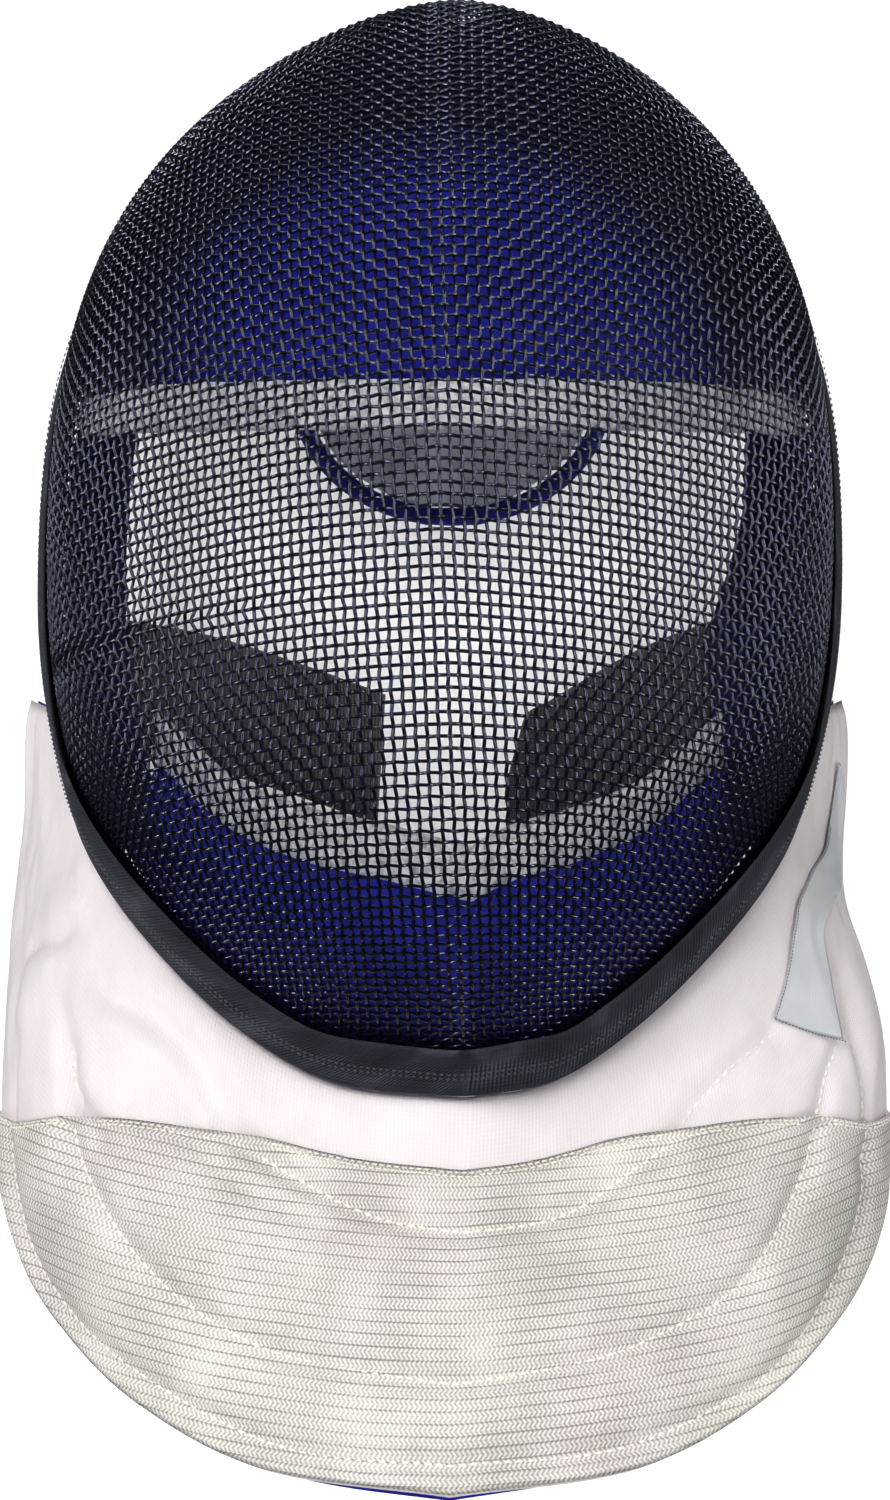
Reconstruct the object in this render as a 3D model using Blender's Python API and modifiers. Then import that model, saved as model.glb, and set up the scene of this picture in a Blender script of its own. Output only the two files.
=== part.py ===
# Fencing mask: a woven wire cage bent to a ridge, a webbing trim round its edge, a padded bib
# with a conductive lower panel, and the pads, straps and tongue that show through the mesh.
# Metres, +Z up, front to -Y. The origin is the inner face of the crown pad, where the mask
# sits on a head.
import math
from collections import namedtuple

import bpy
from mathutils import Vector
from mathutils.bvhtree import BVHTree

# Cage, measured to the middle of the mesh from the fan centre, a point inside the head
CAGE_HALF_WIDTH = 0.1115
FRONT_REACH = 0.124
CROWN_RISE = 0.1637
CHIN_DROP = 0.144
CAGE_WALL = 0.002
CAGE_ROWS = 26
CAGE_COLUMNS = 10
REAR_FLARE = 0.065
REAR_REACH = 0.040
RIDGE_SLANT = 0.055
RIDGE_TURN = 0.016
LEAN = 0.012
CROWN_LEAN = 0.003

# Webbing folded over the edge of the cage
TRIM_WIDTH = 0.0185
TRIM_INNER_WIDTH = 0.0125
TRIM_THICKNESS = 0.0016
TRIM_GAP = 0.0010
TRIM_STEPS = 88

# Bib
BIB_HALF_WIDTH = 0.128
BIB_REACH = 0.122
BIB_HEIGHT = 0.215
BIB_BOTTOM = 0.248
BIB_FRONT = 0.087
BIB_LEAN = 0.0028
RIGHT_TUCK = 0.0070
BIB_WALL = 0.004
BIB_SEAT = 0.0058
EAR_SEAT = 0.0018
BIB_COLUMNS = 32
BIB_ROWS = 9
BIB_GAP = 0.0007
LINING_GAP = 0.0009
PANEL_WALL = 0.0010
LINING_WALL = 0.0012
LINING_OVERHANG = 0.0022

# Pads inside the cage
CROWN_PAD = 0.010
PAD_COLUMNS = 20
PAD_ROWS = 8
PAD_GAP = 0.0010
FOREHEAD_DROP = 0.047
FOREHEAD_STAND_OFF = 0.058
BAND_HEIGHT = 0.010
BAND_THICKNESS = 0.006
SIDE_PAD = 0.006
SIDE_PAD_LENGTH = 0.036
SIDE_PAD_LOW = 0.318
SIDE_PAD_HIGH = 0.600
SIDE_SETBACK = 0.003
SIDE_ROLL = 0.014
RIGHT_ROLL = 0.9
CHIN_PAD = 0.005
CHIN_PAD_HEIGHT = 0.052
CHIN_HALF_WIDTH = 0.072
CHIN_GAP = 0.0030
CHIN_STAND_OFF = 0.078
CHIN_BAND_HEIGHT = 0.012
CHIN_BAND_THICKNESS = 0.007

# Tongue and straps behind the head
TONGUE_WIDTH = 0.088
TONGUE_LENGTH = 0.121
TONGUE_THICKNESS = 0.0045
TONGUE_ROUND = 0.27
TONGUE_CURVE = 0.006
TONGUE_TUCK = 0.0004
BINDING_DEPTH = 0.0056
BINDING_GAP = 0.0027
STRAP_WIDTH = 0.040
STRAP_PLACE = 0.45
STRAP_THICKNESS = 0.0018
STRAP_REACH = 0.080
STRAP_GAP = 0.0026

# Label on the right side of the bib
LABEL_GAP = 0.0013
LABEL_THICKNESS = 0.0010

# Side view of the cage, seen from the fan centre. Angle in degrees from straight ahead towards
# the crown, reach as a share of the sizes above, fullness of the curve across and how much it gains
# towards the side, and the ridge as a share of the reach.
Fan = namedtuple("Fan", "angle reach fullness square ridge")
FANS = (
    Fan(-165, 1.43, 2.2, 0.0, 0.10),
    Fan(-118, 1.36, 2.1, 0.0, 0.12),
    Fan(-90, 1.236, 2.0, 0.0, 0.10),
    Fan(-75, 1.121, 2.0, 0.0, 0.10),
    Fan(-67, 1.087, 2.0, 0.0, 0.11),
    Fan(-58, 1.065, 2.0, 0.0, 0.14),
    Fan(-45, 1.082, 2.0, 0.0, 0.20),
    Fan(-37, 1.0885, 2.0, 0.0, 0.23),
    Fan(-24, 1.0746, 2.0, 0.0, 0.27),
    Fan(-9.6, 1.0223, 2.0, 0.0, 0.28),
    Fan(5, 0.989, 2.0, 0.1, 0.28),
    Fan(17, 0.954, 2.0, 0.2, 0.25),
    Fan(31, 0.924, 2.0, 0.3, 0.18),
    Fan(49, 0.915, 2.0, 0.4, 0.10),
    Fan(61, 0.9245, 2.0, 0.45, 0.07),
    Fan(77, 0.968, 2.0, 0.5, 0.045),
    Fan(89, 1.0, 2.0, 0.5, 0.04),
    Fan(102, 0.998, 2.0, 0.5, 0.04),
    Fan(119, 1.009, 2.0, 0.5, 0.04),
    Fan(133, 1.067, 2.05, 0.45, 0.05),
    Fan(156, 1.20, 2.1, 0.3, 0.08),
    Fan(195, 1.43, 2.2, 0.0, 0.10),
)

# Edge of the cage in side view, chin to crown: forward of the fan centre as a share of the
# front reach, and up as a share of the crown rise or, below the centre, of the chin drop
Edge = namedtuple("Edge", "place forward up")
EDGES = (
    Edge(0.0, 0.447, -0.985),
    Edge(0.06, 0.350, -0.960),
    Edge(0.11, 0.300, -0.868),
    Edge(0.18, 0.235, -0.746),
    Edge(0.24, 0.150, -0.644),
    Edge(0.30, 0.045, -0.540),
    Edge(0.355, -0.080, -0.440),
    Edge(0.400, -0.190, -0.345),
    Edge(0.435, -0.268, -0.262),
    Edge(0.470, -0.305, -0.165),
    Edge(0.53, -0.305, 0.0),
    Edge(0.62, -0.310, 0.244),
    Edge(0.72, -0.363, 0.489),
    Edge(0.84, -0.427, 0.733),
    Edge(1.0, -0.484, 0.8858),
)

# Cross sections of the cage: where each leaves the ridge and where it meets the edge, as
# places along the keel and along the edge
Cross = namedtuple("Cross", "place keel edge")
CROSSES = (
    Cross(0.0, 0.012, 0.055),
    Cross(0.06, 0.045, 0.105),
    Cross(0.16, 0.125, 0.175),
    Cross(0.26, 0.210, 0.275),
    Cross(0.34, 0.275, 0.345),
    Cross(0.42, 0.330, 0.405),
    Cross(0.50, 0.385, 0.462),
    Cross(0.62, 0.500, 0.550),
    Cross(0.75, 0.660, 0.645),
    Cross(0.88, 0.830, 0.755),
    Cross(1.0, 1.0, 0.855),
)

# Ribs of one half of the bib, chin to ear: where the rib leaves the cage's edge, its lower end
# as shares of half width, reach and height, and how far it swells outward as a share of its
# length
Rib = namedtuple("Rib", "place edge side back drop swell")
RIBS = (
    Rib(0.0, 0.0, 0.0, 0.0, 1.0, 0.02),
    Rib(0.12, 0.058, 0.387, 0.098, 0.976, 0.04),
    Rib(0.22, 0.100, 0.630, 0.254, 0.916, 0.07),
    Rib(0.34, 0.165, 0.805, 0.443, 0.837, 0.09),
    Rib(0.46, 0.222, 0.918, 0.590, 0.749, 0.09),
    Rib(0.58, 0.270, 0.975, 0.738, 0.623, 0.08),
    Rib(0.70, 0.315, 0.982, 0.870, 0.498, 0.06),
    Rib(0.82, 0.360, 0.965, 0.985, 0.340, 0.04),
    Rib(0.92, 0.400, 0.950, 1.080, 0.190, 0.02),
    Rib(1.0, 0.440, 0.950, 1.150, 0.012, 0.0),
)

# Top border of the conductive panel: place across the bib and share of the rib above it
Border = namedtuple("Border", "place above")
BORDERS = (
    Border(0.0, 0.195),
    Border(0.15, 0.20),
    Border(0.25, 0.29),
    Border(0.35, 0.41),
    Border(0.44, 0.54),
    Border(0.54, 0.76),
    Border(0.62, 0.96),
)

# Forehead pad in side view, crown to brow: middle and side of each section as shares of the
# stand-off behind the nose and of the height between the brow and the crown
Pad = namedtuple("Pad", "place middle_back middle_up side_back side_up")
PADS = (
    Pad(0.0, 2.88, 0.93, 2.68, 0.580),
    Pad(0.2, 2.45, 1.02, 2.62, 0.425),
    Pad(0.4, 1.98, 1.02, 2.52, 0.280),
    Pad(0.6, 1.35, 0.86, 2.36, 0.150),
    Pad(0.8, 1.04, 0.46, 2.12, 0.055),
    Pad(1.0, 1.00, 0.0, 1.95, -0.01),
)

# Dents and folds of the bib: place across, share of the rib, size and depth in metres
Fold = namedtuple("Fold", "across down length width depth turn")
FOLDS = (
    Fold(0.52, 0.55, 0.060, 0.012, 0.0016, 0.9),
    Fold(-0.62, 0.50, 0.045, 0.011, 0.0016, -0.5),
)

# Upper edge of the chin pad, middle to side: behind the nose as a share of its stand-off and
# above the chin as a share of its height
Chin = namedtuple("Chin", "place back up")
CHINS = (
    Chin(0.0, 1.0, 1.0),
    Chin(0.25, 1.03, 1.12),
    Chin(0.5, 1.12, 1.20),
    Chin(0.8, 1.32, 1.36),
    Chin(1.0, 1.52, 1.58),
)

# Tongue in side view as shares of its length
Tongue = namedtuple("Tongue", "place back drop")
TONGUES = (
    Tongue(0.0, 0.0, 0.0),
    Tongue(0.25, 0.20, 0.17),
    Tongue(0.5, 0.33, 0.40),
    Tongue(0.75, 0.40, 0.66),
    Tongue(1.0, 0.41, 0.93),
)

# Routes of the two straps as shares of their reach, and how far they twist
Strap = namedtuple("Strap", "place inward back drop twist")
STRAPS_LEFT = (
    Strap(0.0, -0.04, 0.0, 0.0, 0.0),
    Strap(0.3, 0.25, 0.16, 0.05, 0.05),
    Strap(0.65, 0.58, 0.36, 0.15, 0.10),
    Strap(1.0, 0.915, 0.50, 0.27, 0.10),
)
STRAPS_RIGHT = (
    Strap(0.0, -0.04, 0.0, 0.0, 0.0),
    Strap(0.3, 0.20, 0.16, 0.09, 0.05),
    Strap(0.65, 0.47, 0.34, 0.24, 0.10),
    Strap(1.0, 0.74, 0.46, 0.41, 0.10),
)

# Label, top to bottom: spots on the bib of its left and right edge
Label = namedtuple("Label", "place left_across left_down right_across right_down")
LABELS = (
    Label(0.0, 0.945, 0.62, 0.945, 0.90),
    Label(0.20, 0.900, 0.42, 0.920, 0.93),
    Label(0.45, 0.757, 0.19, 0.845, 0.72),
    Label(0.70, 0.560, 0.15, 0.630, 0.27),
    Label(1.0, 0.421, 0.225, 0.521, 0.45),
)

fanCentre = Vector((0.0, 0.003, 0.0))
fanCentre.z = -(CROWN_RISE - CAGE_WALL / 2 - PAD_GAP - CROWN_PAD)
nose = Vector((0.0, fanCentre.y - FRONT_REACH, fanCentre.z))


def lookUp(rows, place):
    """Reads a table at a place, with a smooth curve through its rows."""
    last = len(rows) - 1
    index = 0
    while index < last - 1 and place > rows[index + 1][0]:
        index += 1
    before = rows[max(index - 1, 0)]
    start = rows[index]
    end = rows[index + 1]
    after = rows[min(index + 2, last)]
    span = end[0] - start[0]
    t = min(max((place - start[0]) / span, 0.0), 1.0)
    values = [place]
    for column in range(1, len(start)):
        slopeIn = (end[column] - before[column]) / (end[0] - before[0]) * span
        slopeOut = (after[column] - start[column]) / (after[0] - start[0]) * span
        rise = end[column] - start[column]
        value = start[column] + slopeIn * t
        value += (3 * rise - 2 * slopeIn - slopeOut) * t ** 2
        value += (slopeIn + slopeOut - 2 * rise) * t ** 3
        values.append(value)
    return type(start)(*values)


def mix(first, second, share):
    return first + (second - first) * share


def sideShares(y, z):
    """Turns a point of the side view into shares of the reach, rise and drop."""
    forward = (fanCentre.y - y) / FRONT_REACH
    up = z - fanCentre.z
    return forward, up / (CROWN_RISE if up > 0 else CHIN_DROP)


def sidePoint(forward, up):
    """Turns such shares back into y and z."""
    return fanCentre.y - forward * FRONT_REACH, fanCentre.z + up * (CROWN_RISE if up > 0 else CHIN_DROP)


def fanAt(forward, up):
    angle = math.degrees(math.atan2(up, forward))
    return lookUp(FANS, angle if angle > -165 else angle + 360)


def halfWidth(y, z, inset=0.0):
    """Half width of the cage at a point of the side view, or of a cage smaller by an inset."""
    forward, up = sideShares(y, z)
    fan = fanAt(forward, up)
    reach = fan.reach - inset / FRONT_REACH
    wanted = math.hypot(forward, up)
    low = 0.0
    high = 1.0
    for step in range(30):
        across = (low + high) / 2
        fullness = fan.fullness + fan.square * across ** 2
        full = (1 - across ** fullness) ** (1 / fullness)
        if full * (reach - fan.ridge * fan.reach * across) > wanted:
            low = across
        else:
            high = across
    behind = max(y - fanCentre.y, 0.0) / REAR_REACH
    return low, low * (CAGE_HALF_WIDTH - inset) * (1 + REAR_FLARE * behind ** 2)


def drift(z):
    """Sideways shift of the ridge, which slants, at a height."""
    return max(RIDGE_TURN + fanCentre.z - z, 0.0) * RIDGE_SLANT


def lean(z):
    up = (z - fanCentre.z) / CROWN_RISE
    return (z - fanCentre.z) * LEAN + CROWN_LEAN * max(up, 0.0) ** 4


def cagePoint(y, z, side, inset=0.0):
    across, width = halfWidth(y, z, inset)
    return Vector((lean(z) + drift(z) * (1 - across) ** 4 + side * width, y, z))


def resample(points, count):
    """Places points at equal steps along a line of points."""
    lengths = [0.0]
    for first, second in zip(points, points[1:]):
        lengths.append(lengths[-1] + (second - first).length)
    result = []
    index = 0
    for step in range(count + 1):
        target = lengths[-1] * step / count
        while index < len(points) - 2 and lengths[index + 1] < target:
            index += 1
        share = (target - lengths[index]) / max(lengths[index + 1] - lengths[index], 1e-9)
        result.append(points[index].lerp(points[index + 1], share))
    return result


def keelLine(count):
    """The ridge in side view, chin to rear of crown."""
    firstAngle = math.degrees(math.atan2(EDGES[0].up, EDGES[0].forward))
    lastAngle = math.degrees(math.atan2(EDGES[-1].up, EDGES[-1].forward))
    points = []
    for step in range(241):
        angle = mix(firstAngle, lastAngle, step / 240)
        reach = lookUp(FANS, angle).reach
        turn = math.radians(angle)
        y, z = sidePoint(reach * math.cos(turn), reach * math.sin(turn))
        points.append(Vector((0.0, y, z)))
    return resample(points, count)


keel = keelLine(400)


def keelAt(place):
    spot = min(max(place, 0.0), 1.0) * (len(keel) - 1)
    index = min(int(spot), len(keel) - 2)
    return keel[index].lerp(keel[index + 1], spot - index)


def edgeAt(place, side):
    """Point of the cage's edge at a place between chin and crown."""
    edge = lookUp(EDGES, place)
    if place in (0.0, 1.0):
        share = fanAt(edge.forward, edge.up).reach / math.hypot(edge.forward, edge.up)
        y, z = sidePoint(edge.forward * share, edge.up * share)
        return Vector((lean(z) + drift(z), y, z))
    y, z = sidePoint(edge.forward, edge.up)
    return cagePoint(y, z, side)


def crossLine(place, side, count):
    """One cross section of the cage, ridge to edge, at equal steps."""
    cross = lookUp(CROSSES, place)
    start = keelAt(cross.keel)
    end = edgeAt(cross.edge, side)
    points = [Vector((lean(start.z) + drift(start.z), start.y, start.z))]
    for step in range(1, 41):
        share = (step / 40) ** 2
        y = mix(start.y, end.y, share)
        z = mix(start.z, end.z, share)
        points.append(cagePoint(y, z, side))
    return resample(points, count)


def cageRows(rows, half):
    """Grid over the whole cage, chin to crown and left to right."""
    grid = []
    for row in range(rows + 1):
        left = crossLine(row / rows, -1, half)
        right = crossLine(row / rows, 1, half)
        grid.append(left[:0:-1] + right)
    return grid


def gridFaces(rows, columns, closed=False):
    faces = []
    for row in range(rows if closed else rows - 1):
        for column in range(columns - 1):
            first = row * columns + column
            second = (row + 1) % rows * columns + column
            faces.append((first, first + 1, second + 1, second))
    return faces


def material(name, colour, roughness, metallic=0.0):
    made = bpy.data.materials.new(name)
    made.use_nodes = True
    shader = made.node_tree.nodes["Principled BSDF"]
    shader.inputs["Base Color"].default_value = (*colour, 1.0)
    shader.inputs["Roughness"].default_value = roughness
    shader.inputs["Metallic"].default_value = metallic
    return made


def shell(name, grid, thickness, finish, closed=False):
    """A sheet of the grid's form and a thickness, half of it on each side of the grid."""
    mesh = bpy.data.meshes.new(name)
    points = [point for row in grid for point in row]
    mesh.from_pydata(points, [], gridFaces(len(grid), len(grid[0]), closed))
    mesh.materials.append(finish)
    mesh.shade_smooth()
    made = bpy.data.objects.new(name, mesh)
    parts.objects.link(made)
    solidify = made.modifiers.new("wall", "SOLIDIFY")
    solidify.thickness = thickness
    solidify.offset = 0.0
    solidify.use_even_offset = True
    solidify.thickness_clamp = 0.0
    return made


def normalsOf(grid):
    """Unit normals of a grid, by the directions to its neighbours."""
    result = []
    for r, row in enumerate(grid):
        line = []
        for c in range(len(row)):
            down = grid[min(r + 1, len(grid) - 1)][c] - grid[max(r - 1, 0)][c]
            right = row[min(c + 1, len(row) - 1)] - row[max(c - 1, 0)]
            line.append(down.cross(right).normalized())
        result.append(line)
    return result


def shifted(grid, distance):
    """The grid moved along its own normals."""
    result = []
    for row, line in zip(grid, normalsOf(grid)):
        result.append([point + normal * distance for point, normal in zip(row, line)])
    return result


def edgeLoop(count):
    """The whole edge of the cage, from the chin up the right side and down the left."""
    right = [edgeAt(step / 160, 1) for step in range(161)]
    left = [edgeAt(step / 160, -1) for step in range(161)]
    points = right + left[-2::-1]
    return resample(points, count)[:-1]


def edgeFrames(loop, surface):
    """Normal and inward direction of the cage at each point of its edge."""
    frames = []
    count = len(loop)
    for index, point in enumerate(loop):
        along = (loop[(index + 1) % count] - loop[index - 1]).normalized()
        normal = Vector((0.0, 0.0, 0.0))
        for step in (-0.006, 0.0, 0.006):
            normal += outward(surface, point + along * step)[1]
        normal.normalize()
        inward = normal.cross(along).normalized()
        if inward.dot(nose - point) < 0:
            inward.negate()
        frames.append((point, normal, inward))
    return frames


def outward(surface, point):
    """Nearest point of the cage and its normal, away from the fan centre."""
    found, normal, index, distance = surface.find_nearest(point)
    if normal.dot(found - fanCentre) < 0:
        normal = -normal
    return found, normal


def cageSurface():
    grid = cageRows(CAGE_ROWS, CAGE_COLUMNS)
    points = [point for row in grid for point in row]
    return BVHTree.FromPolygons(points, gridFaces(len(grid), len(grid[0])))


def meshCage():
    grid = cageRows(CAGE_ROWS, CAGE_COLUMNS)
    return shell("mesh_cage", grid, CAGE_WALL, material("black_mesh", (0.012, 0.012, 0.014), 0.3, 0.6))


def edgeTrim(surface):
    """Webbing folded over the edge: outer leg, fold and inner leg."""
    height = CAGE_WALL / 2 + TRIM_GAP + TRIM_THICKNESS / 2
    fold = TRIM_GAP + TRIM_THICKNESS / 2
    section = (
        (TRIM_WIDTH, height), (TRIM_WIDTH / 2, height), (0.0, height), (-fold, height * 0.4),
        (-fold, -height * 0.4), (0.0, -height), (TRIM_INNER_WIDTH, -height),
    )
    grid = []
    for point, normal, inward in edgeFrames(edgeLoop(TRIM_STEPS), surface):
        row = []
        for reach, rise in section:
            if reach > 0:
                base, lift = outward(surface, point + inward * reach)
                lift = (lift + normal).normalized()
            else:
                base = point + inward * reach
                lift = normal
            row.append(base + lift * rise)
        grid.append(row)
    trim = shell("edge_trim", grid, TRIM_THICKNESS, material("navy_webbing", (0.018, 0.02, 0.03), 0.8), True)
    return trim


def bibFold(across, down):
    """Depth of the folds at a spot of the bib."""
    depth = 0.0
    for fold in FOLDS:
        sideways = (across - fold.across) * BIB_HALF_WIDTH
        below = (down - fold.down) * BIB_HEIGHT / 2
        lengthwise = (sideways * math.sin(fold.turn) + below * math.cos(fold.turn)) / fold.length
        crosswise = (sideways * math.cos(fold.turn) - below * math.sin(fold.turn)) / fold.width
        depth += fold.depth * math.exp(-lengthwise ** 2 - crosswise ** 2)
    return depth


def bibPoint(across, down):
    """Middle of the bib's wall: across runs from ear to ear, down from the cage to the hem."""
    side = 1 if across >= 0 else -1
    rib = lookUp(RIBS, abs(across))
    start = bibStart(rib.edge, side)
    tuck = RIGHT_TUCK * math.exp(-((across - 0.86) / 0.09) ** 2)
    end = Vector((
        side * rib.side * BIB_HALF_WIDTH + mix(-BIB_LEAN / 3, BIB_LEAN, rib.drop) - tuck,
        -BIB_FRONT + rib.back * BIB_REACH,
        fanCentre.z - BIB_BOTTOM + (1 - rib.drop) * BIB_HEIGHT,
    ))
    point = start.lerp(end, down)
    out = Vector((point.x, point.y - neckBack, 0.0)).normalized()
    swell = rib.swell * (end - start).length * math.sin(math.pi * min(down, 1.0))
    return point + out * (swell + bibFold(across, down))


neckBack = fanCentre.y + 0.6 * REAR_REACH


def bibStart(place, side):
    """Where a rib of the bib meets the fold of the trim."""
    point = edgeAt(place, side)
    step = 0.004
    if place < step:
        along = edgeAt(step, 1) - edgeAt(step, -1)
    else:
        along = edgeAt(place + step, side) - edgeAt(place - step, side)
    inward = outward(cage, point)[1].cross(along).normalized()
    if inward.dot(nose - point) < 0:
        inward.negate()
    return point - inward * (BIB_SEAT + EAR_SEAT * (place / RIBS[-1].edge) ** 2)


def bibGrid(columns, rows, top=0.0, bottom=1.0):
    grid = []
    for row in range(rows + 1):
        down = mix(top, bottom, row / rows)
        grid.append([bibPoint(2 * column / columns - 1, down) for column in range(columns + 1)])
    return grid


def bibShell():
    grid = bibGrid(BIB_COLUMNS, BIB_ROWS)
    return shell("bib_shell", grid, BIB_WALL, material("white_cotton", (0.9, 0.86, 0.87), 0.85))


def bibLining():
    """Blue cloth inside the bib, a little longer than the bib at the throat."""
    grid = shifted(bibGrid(BIB_COLUMNS, BIB_ROWS), -(BIB_WALL / 2 + LINING_GAP + LINING_WALL / 2))
    for column, point in enumerate(grid[-1]):
        across = 2 * column / BIB_COLUMNS - 1
        longer = LINING_OVERHANG * max(1 - (across / 0.3) ** 2, 0.0)
        point += (point - grid[-2][column]).normalized() * longer
    return shell("bib_lining", grid, LINING_WALL, material("blue_cotton", (0.02, 0.02, 0.30), 0.8))


def panelSpot(across, down):
    """Spot on the bib for a spot of the conductive panel, which narrows towards its sides."""
    reach = BORDERS[-1].place
    place = across * reach
    top = lookUp(BORDERS, abs(place)).above
    return place, mix(top, 0.998, down)


def conductivePanel():
    grid = []
    for row in range(7):
        grid.append([bibPoint(*panelSpot(column / 16 - 1, row / 6)) for column in range(33)])
    grid = shifted(grid, BIB_WALL / 2 + BIB_GAP + PANEL_WALL / 2)
    finish = material("conductive_cloth", (0.62, 0.62, 0.57), 0.55, 0.2)
    return shell("bib_conductive_panel", grid, PANEL_WALL, finish)


def pulledIn(y, z, inset):
    """A point of the side view, brought inside a smaller cage if it lies outside."""
    forward, up = sideShares(y, z)
    reach = fanAt(forward, up).reach - inset / FRONT_REACH
    share = min(reach / math.hypot(forward, up), 1.0)
    return sidePoint(forward * share, up * share)


def padGrid(columns, rows):
    """Forehead pad: each section runs from side to side through the middle, inside the cage."""
    low = fanCentre.z + FOREHEAD_DROP
    height = CROWN_RISE - CROWN_PAD / 2 - FOREHEAD_DROP
    clear = CAGE_WALL / 2 + PAD_GAP + CROWN_PAD / 2
    grid = []
    for row in range(rows + 1):
        pad = lookUp(PADS, row / rows)
        midY, midZ = pulledIn(nose.y + pad.middle_back * FOREHEAD_STAND_OFF, low + pad.middle_up * height, clear)
        endY = nose.y + pad.side_back * FOREHEAD_STAND_OFF
        endZ = low + pad.side_up * height
        width = halfWidth(endY, endZ, clear)[1]
        line = []
        for side in (-1, 1):
            points = [Vector((lean(midZ), midY, midZ))]
            for step in range(1, 41):
                share = (step / 40) ** 2
                y = mix(midY, endY, share)
                z = mix(midZ, endZ, share)
                x = min(width * (1 - (1 - share) ** 2.4) ** (1 / 2.4), halfWidth(y, z, clear)[1])
                points.append(Vector((lean(z) + side * x, y, z)))
            line.append(resample(points, columns // 2))
        grid.append(line[0][:0:-1] + line[1])
    return grid


def foreheadPad():
    return shell("forehead_pad", padGrid(PAD_COLUMNS, PAD_ROWS), CROWN_PAD, material("blue_lining", (0.01, 0.012, 0.26), 0.8))


def foreheadBand():
    """Grey velour strip turned under the lower edge of the forehead pad."""
    above, edge = padGrid(PAD_COLUMNS, PAD_ROWS)[-2:]
    grid = []
    for step in range(3):
        drop = PAD_GAP + BAND_HEIGHT * step / 2
        grid.append([low + (low - high).normalized() * drop for high, low in zip(above, edge)])
    return shell("forehead_band", grid, BAND_THICKNESS, material("grey_velour", (0.55, 0.56, 0.58), 0.95))


def liningPoint(place, side, share):
    """Side lining: along the wall inside the trim, then rolled in towards the face."""
    edge = edgeAt(place, side)
    inset = CAGE_WALL / 2 + TRIM_GAP + TRIM_THICKNESS + TRIM_GAP + SIDE_PAD / 2
    forward = SIDE_PAD_LENGTH * max(0.8 - share, 0.0)
    wall = cagePoint(edge.y - forward - SIDE_SETBACK, edge.z, side, inset)
    turned = max(share - 0.8, 0.0) / 0.2
    roll = SIDE_ROLL * (1 + (RIGHT_ROLL if side > 0 else 0.0) * math.exp(-((place - 0.48) / 0.08) ** 2))
    return wall + Vector((-side * roll * turned, SIDE_SETBACK * turned, 0.0))


def sideLining(side):
    grid = []
    for row in range(11):
        place = mix(SIDE_PAD_LOW, SIDE_PAD_HIGH, row / 10)
        grid.append([liningPoint(place, side, share) for share in (0.0, 0.4, 0.8, 0.9, 1.0)])
    name = "side_lining_right" if side > 0 else "side_lining_left"
    return shell(name, grid, SIDE_PAD, material(name + "_cloth", (0.015, 0.015, 0.22), 0.85))


def chinEdge(across):
    """Upper edge of the chin pad, a shallow V."""
    chin = lookUp(CHINS, abs(across))
    return Vector((
        across * CHIN_HALF_WIDTH + drift(fanCentre.z - CHIN_DROP) * (1 - abs(across)) ** 4,
        nose.y + chin.back * CHIN_STAND_OFF,
        fanCentre.z - CHIN_DROP + chin.up * CHIN_PAD_HEIGHT,
    ))


def chinPadGrid(columns, rows):
    clear = CAGE_WALL / 2 + TRIM_GAP + TRIM_THICKNESS + TRIM_GAP + CHIN_PAD / 2
    reach = 0.25
    grid = [[] for row in range(rows + 1)]
    for column in range(columns + 1):
        across = 2 * column / columns - 1
        place = abs(across) * reach
        side = 1 if across >= 0 else -1
        edge = edgeAt(place, side)
        inward = (edge - bibStart(place, side)).normalized()
        normal = outward(cage, edge + inward * 0.004)[1]
        low = edge + inward * TRIM_INNER_WIDTH * 0.5 - normal * clear
        high = chinEdge(across)
        for row in range(rows + 1):
            share = row / rows
            bulge = Vector((0.0, -0.006 * math.sin(math.pi * share), 0.0))
            grid[row].append(low.lerp(high, share) + bulge)
    return grid


def chinPad():
    return shell("chin_pad", chinPadGrid(16, 4), CHIN_PAD, material("dark_blue_lining", (0.008, 0.008, 0.14), 0.85))


def chinBand():
    grid = []
    for row in range(3):
        rise = CHIN_GAP + CHIN_BAND_HEIGHT * row / 2
        line = []
        for column in range(17):
            line.append(chinEdge(column / 8 - 1) + Vector((0.0, 0.0, rise)))
        grid.append(line)
    return shell("chin_band", grid, CHIN_BAND_THICKNESS, material("silver_velour", (0.6, 0.61, 0.63), 0.9))


def edgeAcross(width):
    """Place on the rear of the edge at a distance from the middle."""
    place = 1.0
    while place > 0.7 and edgeAt(place, 1).x < width:
        place -= 0.004
    return place


def tonguePoint(across, down):
    """Sprung tongue behind the head, with a round end."""
    stem = 1 - TONGUE_ROUND
    route = lookUp(TONGUES, down)
    half = TONGUE_WIDTH / 2
    if down > stem:
        half *= math.sqrt(1 - ((down - stem) / TONGUE_ROUND) ** 2 * 0.97)
    crown = edgeAt(1.0, 1)
    root = edgeAt(edgeAcross(abs(across) * half + crown.x), 1)
    arch = (1 - down) ** 2
    seat = CAGE_WALL / 2 + TRIM_GAP + TRIM_THICKNESS - TONGUE_TUCK + TONGUE_THICKNESS / 2
    return Vector((
        crown.x + across * half,
        mix(crown.y, root.y, arch) + route.back * TONGUE_LENGTH + TONGUE_CURVE * (1 - across ** 2) * down,
        mix(crown.z, root.z, arch) - seat - route.drop * TONGUE_LENGTH,
    ))


def tongueGrid():
    grid = []
    for row in range(10):
        down = 1 - (1 - row / 9) ** 1.6
        grid.append([tonguePoint(column / 4 - 1, down) for column in range(9)])
    return grid


def backTongue():
    return shell("back_tongue", tongueGrid(), TONGUE_THICKNESS, material("grey_cloth", (0.42, 0.43, 0.45), 0.9))


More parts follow.
